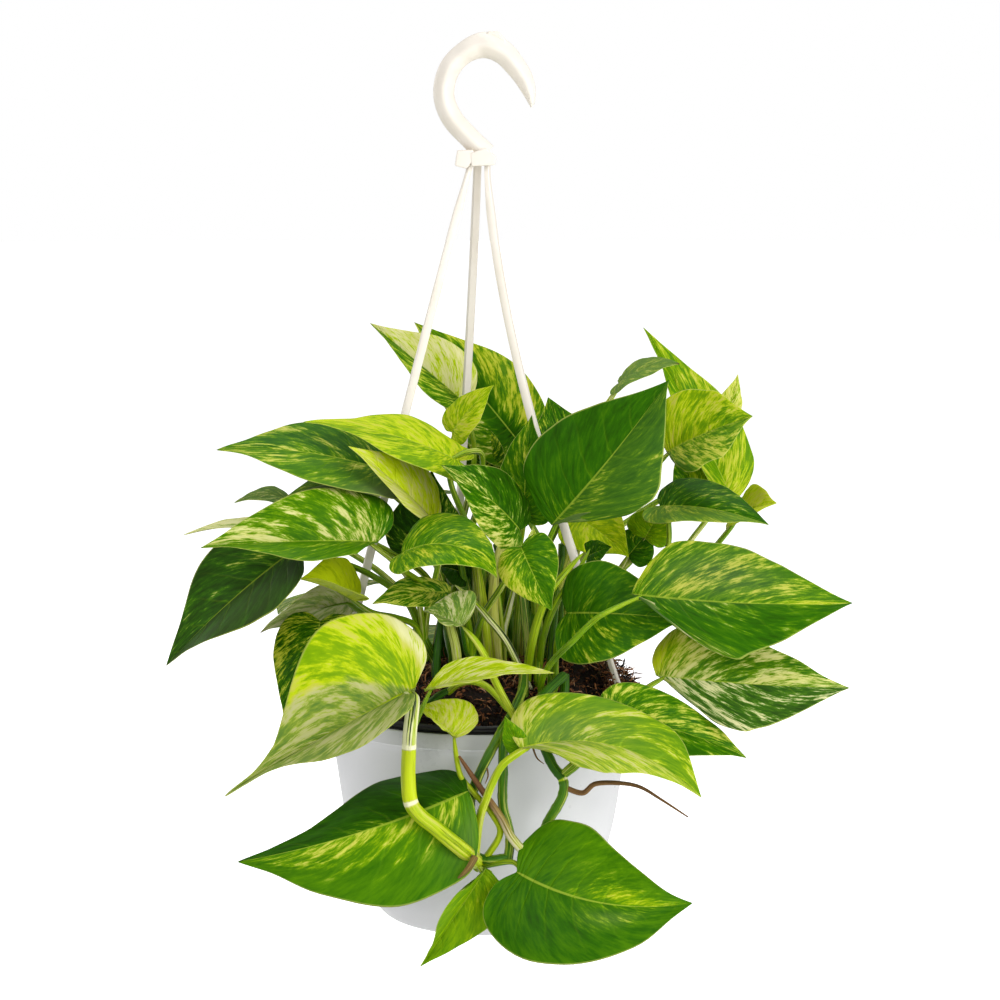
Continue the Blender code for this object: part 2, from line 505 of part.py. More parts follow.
def all_stems():
    return {
        "stem_back_left": dict(foot=(-14, 34), way=[(-17, 40, 42)], leaves=[
            leaf("top_left_pale", (466, 404, 44), (370, 323, 50), 40, (-0.1, -0.9, 0.3), fold=(70, 14),
                 lobe=(0, 0)),
            leaf("top_back", (517, 440, 62), (414, 322, 62), 52, (0.1, -0.9, 0.3), fold=(35, 14), arch=0.06),
            leaf("shadowed", (482, 470, 48), (478, 415, 54), 24, (0.1, -0.9, 0.4), rows=5),
            leaf("back_left_high", (-30, 62, 100), (-96, 118, 74), 54, (-0.3, 0.4, 0.85),
                 hidden=True, rows=5),
        ]),
        "stem_left_upper": dict(foot=(-14, 6), way=[(-18, 4, 45)], leaves=[
            leaf("side_yellow", (456, 456, -38), (303, 421, -50), 42, (0.02, -0.1, 0.99), columns=2,
                 fold=(0, 46), lobe=(0.8, 0.8), taper=(0.8, 0.8), via=[(474, 520, -8), (481, 454, -24)]),
            leaf("dark_streaked", (391, 473, -31), (216, 450, -48), 58, (0.0, -0.4, 0.93),
                 columns=2, fold=(8, 16)),
            leaf("under_streaked", (385, 484, -20), (286, 497, -36), 32, (0.0, -0.25, 0.95),
                 rows=5, arch=0.08),
            leaf("far_curled", (300, 508, 2), (234, 503, -20), 18, (0.0, -0.5, 0.85), rows=5, arch=0.16),
        ]),
        "stem_left_middle": dict(foot=(-22, -14), way=[(-28, -18, 36)], leaves=[
            leaf("bright_upper", (437, 525, -35), (348, 446, -58), 38, (0.2, -0.8, 0.5), fold=(55, 10),
                 lobe=(-0.5, -0.3)),
            leaf("pale_marbled", (378, 542, -62), (200, 548, -84), 54, (0.0, -0.72, 0.7),
                 columns=2, fold=(45, 30),
                 lobe=(-0.5, 0.8), arch=0.03),
            leaf("far_left_dark", (300, 546, -44), (166, 666, -66), 62, (-0.3, -0.85, 0.4),
                 columns=2, fold=(42, 6),
                 lobe=(-0.3, 0.0)),
            leaf("pale_edge_on", (320, 530, 0), (183, 535, -16), 34, (0.0, -0.05, 1.0), rows=5),
            leaf("under_bright", (356, 601, -50), (300, 579, -66), 46, (0.3, -0.65, 0.7),
                 rows=5, fold=(65, 10),
                 lobe=(-0.5, 0.8)),
            leaf("grey_underside", (352, 601, -30), (260, 633, -40), 44, (0.0, 0.55, 0.8),
                 rows=5, fold=(15, 15),
                 via=[(376, 622, -24)], root=0.6),
        ]),
        "stem_centre": dict(foot=(-2, -22), way=[(-4, -24, 30)], leaves=[
            leaf("saddle", (402, 553, -84), (497, 578, -97), 61, (0.1, 0.1, 1.0), columns=2,
                 fold=(40, -10), arch=0.2, lobe=(0.0, 0.6)),
            leaf("blotched", (520, 530, -38), (441, 465, -64), 40, (0.1, -0.75, 0.65)),
            leaf("small_pale_folded", (463, 626, -88), (424, 611, -84), 36, (-0.2, -0.8, 0.5), rows=5,
                 fold=(78, 5), lobe=(-0.5, 0.8)),
            leaf("marbled_behind", (450, 592, -56), (372, 604, -76), 30, (0.0, -0.45, 0.9), rows=5),
        ]),
        "stem_centre_back": dict(foot=(12, 14), way=[(10, 12, 40)], leaves=[
            leaf("upright_yellow_edged", (525, 517, -22), (532, 415, -20), 32, (-0.4, -0.85, 0.2)),
            leaf("glossy_behind", (575, 500, 12), (548, 397, 24), 54, (0.1, -0.7, 0.7),
                 columns=2, lobe=(0, 0),
                 via=[(538, 565, 16)]),
            leaf("small_upright", (452, 432, 8), (494, 385, 0), 22, (-0.5, -0.7, 0.3), rows=5),
        ]),
        "stem_right_big": dict(foot=(26, -8), way=[(28, -12, 50)], leaves=[
            leaf("big_dark", (552, 525, -45), (669, 380, -62), 68, (0.0, -0.95, 0.3), rows=7, columns=2,
                 fold=(4, 36), lobe=(0.0, -1.2), arch=0.03, taper=(-0.2, -0.5), sweep=0.02),
            leaf("small_heart", (529, 549, -84), (552, 611, -94), 28, (-0.3, -0.9, 0.3), rows=5),
        ]),
        "stem_right_top": dict(foot=(38, 22), way=[(42, 24, 45)], leaves=[
            leaf("top_right_long", (732, 500, 28), (643, 327, 36), 44, (0.2, -0.95, 0.2), fold=(62, 8),
                 lobe=(0.0, 0.0), via=[(636, 600, 24), (693, 537, 26)]),
            leaf("yellow_green_under", (578, 518, 6), (629, 557, -10), 36, (0.2, -0.8, 0.5), rows=5),
            leaf("broad_pale", (668, 450, -14), (757, 438, -34), 60, (0.0, -0.85, 0.5),
                 columns=2, fold=(5, 55),
                 lobe=(0.5, -0.5), taper=(-0.5, 0.0)),
            leaf("pale_tip", (722, 425, 48), (738, 374, 46), 16, (0.3, -0.8, 0.4), rows=5),
            leaf("olive_folded", (619, 383, 20), (680, 364, 2), 28, (0.1, -0.5, 0.85), rows=5, arch=0.1),
            leaf("back_high", (12, 80, 110), (18, 146, 90), 50, (0.0, 0.45, 0.9), hidden=True, rows=5),
            leaf("back_right_high", (50, 66, 104), (84, 120, 128), 50, (0.3, 0.5, 0.8), hidden=True, rows=5),
        ]),
        "stem_right_middle": dict(foot=(46, 2), way=[(52, 0, 40)], leaves=[
            leaf("round_mid_green", (645, 538, 0), (662, 508, 8), 24, (0.0, -0.9, 0.3), rows=5),
            leaf("dark_small", (628, 556, -2), (652, 528, 4), 22, (0.0, -0.9, 0.4), rows=5),
            leaf("folded_right", (660, 506, -26), (769, 525, -48), 46, (0.0, -0.4, 0.92), fold=(20, 20),
                 via=[(640, 600, -12), (668, 545, -20)]),
            leaf("yellow_far_right", (738, 516, 0), (775, 503, -24), 26, (0.2, -0.8, 0.5),
                 rows=5, fold=(5, 60),
                 lobe=(0.5, -0.5), via=[(652, 610, 8), (712, 550, 2)]),
        ]),
        "stem_right": dict(foot=(36, -28), way=[(38, -32, 18)], leaves=[
            leaf("big_variegated", (632, 594, -72), (853, 603, -84), 62, (0.05, -0.9, 0.45),
                 columns=2, fold=(10, 22),
                 lobe=(-0.1, -1.2), sweep=0.04, via=[(580, 633, -52), (605, 610, -66)], taper=(-0.3, -0.3)),
            leaf("dark_behind", (567, 620, -48), (685, 626, -66), 45, (0.1, -0.9, 0.45)),
        ]),
        "stem_left_low": dict(foot=(-46, -22), way=[(-56, -26, 28)], leaves=[
            leaf("heart_marbled", (320, 621, -44), (284, 733, -60), 42, (-0.1, -0.9, 0.4), sweep=-0.06),
            leaf("back_left_low", (-70, 40, 50), (-112, 108, 26), 52, (-0.4, 0.4, 0.8), hidden=True, rows=5),
        ]),
        "vine_front": dict(foot=(22, -40), route=[(522, 692, -60), (511, 716, -80), (499, 736, -88),
                                                 (477, 780, -94), (469, 815, -96), (475, 857, -98)],
            branches=[[(511, 716, -80), (504, 745, -91), (503, 776, -93), (503, 806, -95), (510, 836, -97),
                       (508, 860, -99)], [(475, 857, -98), (490, 860, -99), (508, 858, -99)]], leaves=[
            leaf("front_left_folded", (415, 688, -100), (224, 797, -122), 92, (0.1, -0.35, 0.93), columns=2,
                 fold=(35, 60), sweep=-0.05, lobe=(-0.3, 1.0), taper=(1.3, 2.2), thick=3.6,
                 via=[(434, 824, -115), (411, 802, -117), (409, 752, -113), (411, 722, -106)]),
            leaf("young_narrow", (425, 690, -97), (555, 673, -114), 22, (0.0, -0.5, 0.8),
                 rows=5, fold=(40, 40),
                 lobe=(-0.5, -0.5), via=[(430, 820, -115), (413, 798, -116), (411, 740, -110)]),
            leaf("bottom_left", (468, 791, -106), (237, 862, -112), 80, (-0.05, -0.9, 0.5), columns=2,
                 fold=(-8, -34), lobe=(0.0, 0.3), sweep=-0.05, taper=(0.0, 0.9)),
            leaf("front_arching", (520, 748, -108), (702, 798, -122), 54, (0.1, -0.75, 0.65), columns=2,
                 fold=(8, 40), sweep=-0.13, lobe=(0.3, -1.0), taper=(-0.8, 0.0), thick=2.2,
                 via=[(479, 825, -101), (487, 798, -105), (503, 765, -108)]),
            leaf("bottom_small", (486, 868, -102), (420, 967, -106), 34, (0.2, -0.9, 0.3),
                 rows=5, fold=(5, 72),
                 lobe=(0.0, -0.8)),
            leaf("front_dark_heart", (517, 872, -110), (693, 903, -124), 70, (0.0, -0.9, 0.45), columns=2,
                 sweep=0.1, lobe=(0.6, 0.6), fold=(5, 6), via=[(512, 862, -104)]),
            leaf("small_curly", (456, 738, -90), (414, 706, -82), 38, (0.0, -0.8, 0.6), rows=5, fold=(80, 5),
                 lobe=(-0.5, 1.0), via=[(500, 833, -99), (480, 800, -98), (460, 775, -96)]),
        ]),
        "vine_front_right": dict(foot=(42, -44), route=[(537, 704, -74), (540, 734, -88), (552, 764, -92),
                                                       (563, 780, -94), (562, 797, -94), (549, 820, -92),
                                                       (541, 838, -90)], leaves=[
            leaf("lower_marbled", (656, 675, -62), (850, 688, -78), 54, (0.0, -0.75, 0.65),
                 columns=2, fold=(25, 8),
                 lobe=(0.4, -1.2), sweep=0.05, taper=(0.0, -0.4), root=0.5, rows=6,
                 via=[(585, 752, -93), (630, 700, -78)]),
            leaf("right_behind_front", (608, 716, -88), (747, 758, -80), 36, (0.0, -0.6, 0.8), fold=(35, 10),
                 root=0.5, via=[(578, 764, -94), (596, 735, -92)]),
        ]),
        "vine_back": dict(foot=(6, 56), way=[(6, 72, 14), (6, 88, 2), (2, 94, -40), (-4, 94, -70)], leaves=[
            leaf("back_hanging_left", (-12, 98, -30), (-52, 112, -86), 50, (-0.3, 0.9, 0.3),
                 hidden=True, rows=5),
            leaf("back_hanging_right", (8, 98, -44), (40, 114, -98), 48, (0.3, 0.9, 0.3),
                 hidden=True, rows=5),
            leaf("back_low_left", (-6, 96, 18), (-50, 142, -8), 50, (-0.2, 0.6, 0.75), hidden=True, rows=5),
            leaf("back_low_right", (20, 94, 22), (62, 146, 2), 52, (0.2, 0.6, 0.75), hidden=True, rows=5),
            leaf("back_right_low", (84, 50, 46), (140, 92, 40), 50, (0.3, 0.3, 0.9),
                 hidden=True, rows=5, root=0.3),
        ]),
    }


def stem_way(stem):
    """The stem's line over the soil."""
    x, y = stem["foot"]
    ground = from_rim(x, y, SOIL_CROWN + 6.0)
    if "route" in stem:
        return [ground] + [seen(*point) for point in stem["route"]]
    return [ground] + [from_rim(*point) for point in stem["way"]]


def grow(name, stem, material, collection):
    """A stem with its stalks and blades, fused."""
    thick = stem.get("thick", STEM_RADIUS)
    way = stem_way(stem)
    low = from_rim(*stem["foot"], -STEM_DEPTH)
    bends = curve_points(way, 3 * len(way) - 2) if len(way) > 2 else way
    meshes = [tube("stem", [low] + bends, [thick * MM] * (len(bends) + 1))]
    for branch in stem.get("branches", ()):
        turns = curve_points([seen(*point) for point in branch], 2 * len(branch))
        meshes.append(tube("branch", turns, [thick * MM] * len(turns)))
    for place, item in enumerate(stem["leaves"]):
        root = smooth(way, item["root"]) - Vector((0.0, 0.0, 2.0 + 0.7 * place)) * MM
        meshes.append(stalk(item, root))
        meshes.append(item["blade"].mesh(item["rows"], item["columns"]))
    return fuse(name, meshes, material, collection)


def main():
    clear_scene()
    parts = new_collection("potted_pothos")
    cutters = new_collection("cutters")
    white = principled("white_plastic", (0.82, 0.83, 0.86), 0.35)
    cream = principled("cream_plastic", (0.86, 0.83, 0.76), 0.4)
    black = principled("black_plastic", (0.02, 0.02, 0.02), 0.45)
    coir = principled("coir", (0.09, 0.045, 0.02), 0.95)
    green = principled("variegated_leaf", (0.16, 0.36, 0.04), 0.35)
    stems = all_stems()
    make_pot(white, parts)
    make_grow_pot(black, parts)
    holes = [(*stem["foot"], stem.get("thick", STEM_RADIUS)) for stem in stems.values()]
    make_soil(coir, parts, cutters, holes)
    make_hook(cream, parts, cutters)
    for index, (angle, bow) in enumerate(zip(ARM_ANGLES, ARM_BOWS), 1):
        make_arm(index, angle, bow, cream, parts)
    for name, stem in stems.items():
        grow(name, stem, green, parts)
    for obj in parts.objects:
        if obj.type == "MESH":
            obj.data.shade_smooth()
            obj.data.set_sharp_from_angle(angle=math.radians(40))


main()
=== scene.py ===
# Potted pothos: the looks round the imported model. Metres, +Z up, the origin in the seat of the hook.
import math
import random

import bmesh
import bpy
from mathutils import Matrix, Vector, noise


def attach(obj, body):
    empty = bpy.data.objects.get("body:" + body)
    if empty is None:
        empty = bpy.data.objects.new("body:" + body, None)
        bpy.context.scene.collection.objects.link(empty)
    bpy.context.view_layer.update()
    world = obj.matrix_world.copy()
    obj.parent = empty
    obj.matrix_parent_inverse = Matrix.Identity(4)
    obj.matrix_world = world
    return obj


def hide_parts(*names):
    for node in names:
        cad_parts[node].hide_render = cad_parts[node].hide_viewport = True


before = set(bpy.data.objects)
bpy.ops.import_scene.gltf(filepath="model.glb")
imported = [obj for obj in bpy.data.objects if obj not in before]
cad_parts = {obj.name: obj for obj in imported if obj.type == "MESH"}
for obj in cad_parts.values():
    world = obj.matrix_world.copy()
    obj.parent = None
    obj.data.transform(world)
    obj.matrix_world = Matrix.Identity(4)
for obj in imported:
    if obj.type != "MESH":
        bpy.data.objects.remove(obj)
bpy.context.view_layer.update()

mm = 0.001
rimDrop = 324.0  # millimetres from the hook's seat down to the plane of the rim
rimRadius = 77.5
potHeight = 110.0
growRadius = 72.4  # of the grow pot at the plane of the rim
soilEdge = -9.0  # heights over the rim: the coir at the wall, and in the middle
soilCrown = 17.0
stemDepth = 34.0  # how far the stems reach down under the rim
hubHeight = -50.0  # of the hub that holds the arms, over the seat

view = {
    "distance": 1300.0,  # millimetres in front of the pot's axis
    "rise": 276.3,  # over the rim
    "tilt": math.radians(7.556),  # looking down
    "side": 10.2,  # to the right of that axis
    "wide": 1000.0,  # pixels of the picture, across
    "middle": 500.0,
    "focal": 2599.0,  # in such pixels
}


# places
def fromRim(x, y, z):
    return Vector((x, y, z - rimDrop)) * mm


def fromAxis(radius, angle, height):
    return fromRim(radius * math.cos(angle), radius * math.sin(angle), height)


def seen(across, down, depth):
    # the point that shows at this place of the picture, so many millimetres behind the pot's axis
    right, low = (across - view["middle"]) / view["focal"], (down - view["middle"]) / view["focal"]
    level, lean = math.cos(view["tilt"]), math.sin(view["tilt"])
    reach = (view["distance"] + depth) / (level - low * lean)
    height = view["rise"] - reach * (lean + low * level)
    return fromRim(view["side"] + reach * right, depth, height)


def smooth(values, t):
    # a curve through evenly spaced values, read at t from 0 to 1
    last = len(values) - 1
    place = min(max(t, 0.0), 1.0) * last
    i = min(int(place), last - 1)
    f = place - i
    a, b, c, d = values[max(i - 1, 0)], values[i], values[i + 1], values[min(i + 2, last)]
    return b + (c - a) * (0.5 * f) + (a * 2.0 - b * 5.0 + c * 4.0 - d) * (0.5 * f * f) + (
        (b - c) * 3.0 + d - a) * (0.5 * f * f * f)


def curvePoints(points, count):
    return [smooth(points, i / (count - 1)) for i in range(count)]


def ease(low, high, value):
    t = min(max((value - low) / (high - low), 0.0), 1.0)
    return t * t * (3.0 - 2.0 * t)


# materials
def feed(tree, socket, value):
    # a socket is linked, a plain value is set
    if isinstance(value, bpy.types.NodeSocket):
        tree.links.new(value, socket)
    else:
        socket.default_value = value


def addNode(tree, kind, **inputs):
    # settings go by name, sockets by label or as _0, _1 and so on
    made = tree.nodes.new(kind)
    for name, value in inputs.items():
        if hasattr(made, name):
            setattr(made, name, value)
        elif name[0] == "_":
            feed(tree, made.inputs[int(name[1:])], value)
        else:
            feed(tree, made.inputs[name.replace("_", " ")], value)
    return made


def maths(tree, operation, *values, clamp=False):
    made = tree.nodes.new("ShaderNodeMath")
    made.operation, made.use_clamp = operation, clamp
    for socket, value in zip(made.inputs, values):
        feed(tree, socket, value)
    return made.outputs[0]


def plus(tree, first, second, clamp=False):
    return maths(tree, "ADD", first, second, clamp=clamp)


def less(tree, first, second, clamp=False):
    return maths(tree, "SUBTRACT", first, second, clamp=clamp)


def times(tree, first, second, clamp=False):
    return maths(tree, "MULTIPLY", first, second, clamp=clamp)


def mixed(tree, share, first, second, blend="MIX"):
    made = tree.nodes.new("ShaderNodeMix")
    made.data_type, made.blend_type = "RGBA", blend
    for number, value in ((0, share), (6, first), (7, second)):
        feed(tree, made.inputs[number], (*value, 1.0) if isinstance(value, tuple) else value)
    return made.outputs[2]


def between(tree, value, low, high):
    # 0 under low, 1 over high
    made = tree.nodes.new("ShaderNodeMapRange")
    made.interpolation_type = "SMOOTHSTEP"
    for number, item in enumerate((value, low, high)):
        feed(tree, made.inputs[number], item)
    return made.outputs[0]


def ramp(tree, value, stops):
    made = tree.nodes.new("ShaderNodeValToRGB")
    while len(made.color_ramp.elements) < len(stops):
        made.color_ramp.elements.new(0.5)
    for element, (place, colour) in zip(made.color_ramp.elements, stops):
        element.position = place
        element.color = (*colour, 1.0)
    tree.links.new(value, made.inputs[0])
    return made.outputs[0]


def speckle(tree, place, scale, detail=2.0, rough=0.55):
    made = addNode(tree, "ShaderNodeTexNoise", Scale=scale, Detail=detail, Roughness=rough)
    tree.links.new(place, made.inputs["Vector"])
    return made.outputs[0]


def stretched(tree, place, scale):
    made = addNode(tree, "ShaderNodeVectorMath", operation="MULTIPLY")
    tree.links.new(place, made.inputs[0])
    made.inputs[1].default_value = scale
    return made.outputs[0]


def newGroup(name, inputs, outputs):
    tree = bpy.data.node_groups.new(name, "ShaderNodeTree")
    kinds = {float: "NodeSocketFloat", tuple: "NodeSocketVector"}
    for label, value in inputs.items():
        socket = tree.interface.new_socket(label, in_out="INPUT", socket_type=kinds[type(value)])
        socket.default_value = value
    for label in outputs:
        kind = "NodeSocketColor" if label == "Color" else "NodeSocketFloat"
        tree.interface.new_socket(label, in_out="OUTPUT", socket_type=kind)
    return tree, tree.nodes.new("NodeGroupInput").outputs, tree.nodes.new("NodeGroupOutput").inputs


def placeGroup(tree, group, **inputs):
    made = tree.nodes.new("ShaderNodeGroup")
    made.node_tree = group
    for name, value in inputs.items():
        feed(tree, made.inputs[name.replace("_", " ")], value)
    return made.outputs


streakLook = {
    "noises": (  # stretch, detail, roughness and share of the coarse, the middle and the fine noise
        ((0.09, 0.14, 1.0), 1.0, 0.55, 0.24),
        ((0.38, 0.42, 3.0), 2.0, 0.55, 0.36),
        ((1.15, 1.10, 7.0), 4.0, 0.7, 0.40),
    ),
    "level": 0.590,  # a mark begins where the noise is over this
    "drop": 0.205,  # how far that falls as Amount goes from 0 to 1
    "edge": 0.085,  # how softly a mark begins
    "haloDrop": 0.07,  # how much sooner the halo round it begins
    "haloEdge": 0.12,
}


def makeStreaks():
    # marbling that runs along the veins: Place is (across the streaks, along them, seed)
    tree, given, out = newGroup(
        "streakedMarbling", {"Place": (0.0, 0.0, 0.0), "Amount": 0.3, "Across": 80.0, "Along": 7.0},
        ("Mask", "Halo", "Grain", "Mottle"))
    scale = addNode(tree, "ShaderNodeCombineXYZ", X=given["Across"], Y=given["Along"], Z=1.0).outputs[0]
    scaled = addNode(tree, "ShaderNodeVectorMath", operation="MULTIPLY", _0=given["Place"], _1=scale)
    place = scaled.outputs[0]
    found, weighed = [], []
    for stretch, detail, rough, share in streakLook["noises"]:
        found.append(speckle(tree, stretched(tree, place, stretch), 1.0, detail, rough))
        weighed.append(times(tree, found[-1], share))
    value = plus(tree, plus(tree, weighed[0], weighed[1]), weighed[2])
    low = less(tree, streakLook["level"], times(tree, given["Amount"], streakLook["drop"]))
    some = times(tree, given["Amount"], 14.0, clamp=True)
    mask = between(tree, value, low, plus(tree, low, streakLook["edge"]))
    haloLow = less(tree, low, streakLook["haloDrop"])
    halo = between(tree, value, haloLow, plus(tree, haloLow, streakLook["haloEdge"]))
    tree.links.new(times(tree, mask, some), out["Mask"])
    tree.links.new(times(tree, halo, some), out["Halo"])
    tree.links.new(found[2], out["Grain"])
    tree.links.new(found[1], out["Mottle"])
    return tree


toneLook = {
    "greens": ((0.0, (0.011, 0.042, 0.0010)), (0.22, (0.024, 0.110, 0.0010)), (0.48, (0.074, 0.205, 0.0012)),
               (0.72, (0.190, 0.340, 0.0014)), (0.90, (0.350, 0.470, 0.0022)), (1.0, (0.520, 0.630, 0.0060))),
    "pales": ((0.0, (0.420, 0.460, 0.0080)), (0.5, (0.520, 0.530, 0.0900)), (1.0, (0.680, 0.670, 0.3300))),
    "grey": (0.165, 0.190, 0.090),  # the paler grey of an underside, also mixed in as a painted sheen
    "grain": 0.36,  # how far the fine noise moves the tone
    "mottle": 0.5,
    "haloLift": 0.3,
}


def makeTones():
    # Ground runs from deep green (0) to lime (1), Pale from yellow (0) to cream (1)
    tree, given, out = newGroup(
        "plantTones", {"Ground": 0.4, "Pale": 0.5, "Mask": 0.0, "Halo": 0.0, "Grain": 0.5, "Mottle": 0.5,
                       "Grey": 0.0}, ("Color",))
    grain = times(tree, less(tree, given["Grain"], 0.5), toneLook["grain"])
    wobble = plus(tree, grain, times(tree, less(tree, given["Mottle"], 0.5), toneLook["mottle"]))
    ground = ramp(tree, plus(tree, given["Ground"], wobble, clamp=True), toneLook["greens"])
    lift = plus(tree, given["Ground"], plus(tree, wobble, toneLook["haloLift"]))
    lifted = ramp(tree, maths(tree, "MINIMUM", lift, 1.0), toneLook["greens"])
    drift = times(tree, wobble, 1.6)
    pale = ramp(tree, plus(tree, given["Pale"], drift, clamp=True), toneLook["pales"])
    colour = mixed(tree, times(tree, given["Halo"], 0.8), ground, lifted)
    colour = mixed(tree, given["Mask"], colour, pale)
    # Grey mixes in the underside's paler grey and a painted sheen
    tree.links.new(mixed(tree, given["Grey"], colour, toneLook["grey"]), out["Color"])
    return tree


def makeMouldGrain():
    # faint clouding and tiny waves of moulded plastic
    tree, given, out = newGroup(
        "mouldedGrain", {"Place": (0.0, 0.0, 0.0), "Scale": 60.0, "Low": 0.3, "High": 0.5},
        ("Cloud", "Rough", "Wave"))
    scaled = addNode(tree, "ShaderNodeVectorMath", operation="SCALE", _0=given["Place"], Scale=given["Scale"])
    cloud = speckle(tree, scaled.outputs[0], 0.5, 3.0)
    grain = speckle(tree, scaled.outputs[0], 9.0, 2.0)
    both = plus(tree, times(tree, cloud, 0.6), times(tree, grain, 0.4))
    rough = addNode(tree, "ShaderNodeMapRange", _0=both, _1=0.3, _2=0.7, _3=given["Low"], _4=given["High"])
    tree.links.new(cloud, out["Cloud"])
    tree.links.new(rough.outputs[0], out["Rough"])
    tree.links.new(both, out["Wave"])
    return tree


streakGroup, toneGroup, mouldGroup = makeStreaks(), makeTones(), makeMouldGrain()


def newMaterial(name, **values):
    made = bpy.data.materials.new(name)
    made.use_nodes = True
    shader = made.node_tree.nodes["Principled BSDF"]
    for label, value in values.items():
        shader.inputs[label.replace("_", " ")].default_value = value
    return made, made.node_tree, shader


def bump(tree, shader, height, distance, strength=1.0):
    made = addNode(tree, "ShaderNodeBump", Distance=distance, Strength=strength)
    tree.links.new(height, made.inputs["Height"])
    tree.links.new(made.outputs[0], shader.inputs["Normal"])


def readAttribute(tree, name):
    made = tree.nodes.new("ShaderNodeAttribute")
    made.attribute_name = name
    return made.outputs


bladeLook = {
    "veins": 10.5,
    "veinLight": (0.10, 0.15, 0.005),  # added to the colour of a vein
    "veinDepth": 0.0002,
    "midrib": 0.025,  # share of the half width that it takes up
    "ribColour": (0.36, 0.47, 0.04),
    "edgeColour": (0.52, 0.57, 0.12),
    "dryColour": (0.060, 0.026, 0.010),
    "sweep": 0.14,  # how far the marbling leans towards the tip
    "underGrey": 0.34,
}


def makeBladeMaterial():
    made, tree, shader = newMaterial("variegatedBlade", Specular_IOR_Level=0.035)
    place, look = readAttribute(tree, "leafPlace"), readAttribute(tree, "leafLook")
    parts = addNode(tree, "ShaderNodeSeparateXYZ", _0=place["Vector"]).outputs
    looks = addNode(tree, "ShaderNodeSeparateColor", _0=look["Color"]).outputs
    share = maths(tree, "ABSOLUTE", parts[1])
    seed = plus(tree, parts[2], times(tree, maths(tree, "GREATER_THAN", parts[1], 0.0), 4.7))
    lined = addNode(tree, "ShaderNodeCombineXYZ", X=parts[0], Y=share, Z=seed).outputs[0]
    swept = less(tree, parts[0], times(tree, share, bladeLook["sweep"]))
    slanted = addNode(tree, "ShaderNodeCombineXYZ", X=swept, Y=share, Z=seed).outputs[0]
    streaks = placeGroup(tree, streakGroup, Place=slanted, Amount=looks[1], Across=80.0, Along=7.0)
    wander = times(tree, speckle(tree, stretched(tree, lined, (3.0, 2.0, 1.0)), 1.0), 0.4)
    phase = maths(tree, "FRACT", plus(tree, times(tree, parts[0], bladeLook["veins"]), wander))
    ridge = times(tree, maths(tree, "ABSOLUTE", less(tree, phase, 0.5)), 2.0)
    vein = times(tree, between(tree, ridge, 0.86, 1.0), less(tree, 1.0, share))
    clear = less(tree, 1.0, times(tree, look["Alpha"], 2.0), clamp=True)
    rib = times(tree, between(tree, share, bladeLook["midrib"], bladeLook["midrib"] * 0.4), clear)
    edge = between(tree, share, 0.972, 0.995)
    # grey is the underside's own paler tone plus the leaf's grey, which is a painted sheen standing in for
    # the gloss that the low specular leaves out
    grey = plus(tree, look["Alpha"], times(tree, place["Alpha"], bladeLook["underGrey"]), clamp=True)
    sheen = times(tree, grey, plus(tree, 0.45, times(tree, streaks["Grain"], 0.9)))
    colour = placeGroup(tree, toneGroup, Ground=looks[0], Pale=looks[2], Mask=streaks["Mask"],
                        Halo=streaks["Halo"], Grain=streaks["Grain"], Mottle=streaks["Mottle"],
                        Grey=sheen)["Color"]
    lighter = mixed(tree, 1.0, colour, bladeLook["veinLight"], "ADD")
    colour = mixed(tree, times(tree, vein, 0.3), colour, lighter)
    colour = mixed(tree, times(tree, rib, 0.6), colour, bladeLook["ribColour"])
    colour = mixed(tree, times(tree, edge, 0.55), colour, bladeLook["edgeColour"])
    colour = mixed(tree, readAttribute(tree, "leafDry")["Fac"], colour, bladeLook["dryColour"])
    tree.links.new(colour, shader.inputs["Base Color"])
    rough = plus(tree, 0.30, times(tree, streaks["Grain"], 0.22))
    tree.links.new(plus(tree, rough, times(tree, grey, 0.22)), shader.inputs["Roughness"])
    quilt = times(tree, maths(tree, "SINE", times(tree, phase, math.pi)), 0.9)
    height = less(tree, times(tree, streaks["Grain"], 0.28), vein)
    height = plus(tree, height, times(tree, quilt, less(tree, 1.05, share)))
    bump(tree, shader, height, bladeLook["veinDepth"])
    return made


stalkLook = {
    "cream": (0.88, 0.88, 0.56),
    "dark": (0.012, 0.042, 0.004),
    "fibre": ((0.25, (0.045, 0.015, 0.005)), (0.75, (0.36, 0.17, 0.065))),  # of roots and dry sheaths
}


def makeStalkMaterial():
    made, tree, shader = newMaterial("stripedStalk", Specular_IOR_Level=0.2)
    place, look = readAttribute(tree, "leafPlace"), readAttribute(tree, "leafLook")
    looks = addNode(tree, "ShaderNodeSeparateColor", _0=look["Color"]).outputs
    streaks = placeGroup(tree, streakGroup, Place=place["Vector"], Amount=looks[1], Across=9.0, Along=0.6)
    colour = placeGroup(tree, toneGroup, Ground=looks[0], Pale=looks[2], Mask=streaks["Mask"],
                        Halo=streaks["Halo"], Grain=streaks["Grain"], Mottle=0.5, Grey=0.0)["Color"]
    creamy = times(tree, streaks["Mask"], between(tree, looks[2], 0.6, 1.0))
    colour = mixed(tree, creamy, colour, stalkLook["cream"])
    lines = speckle(tree, stretched(tree, place["Vector"], (13.0, 0.5, 5.0)), 1.0)
    dark = between(tree, lines, 0.57, 0.64)
    colour = mixed(tree, times(tree, dark, look["Alpha"]), colour, stalkLook["dark"])
    dry = readAttribute(tree, "leafDry")["Fac"]
    fibre = ramp(tree, streaks["Grain"], stalkLook["fibre"])
    tree.links.new(mixed(tree, dry, colour, fibre), shader.inputs["Base Color"])
    tree.links.new(plus(tree, 0.32, times(tree, dry, 0.4)), shader.inputs["Roughness"])
    bump(tree, shader, plus(tree, streaks["Grain"], dark), 0.0003)
    return made


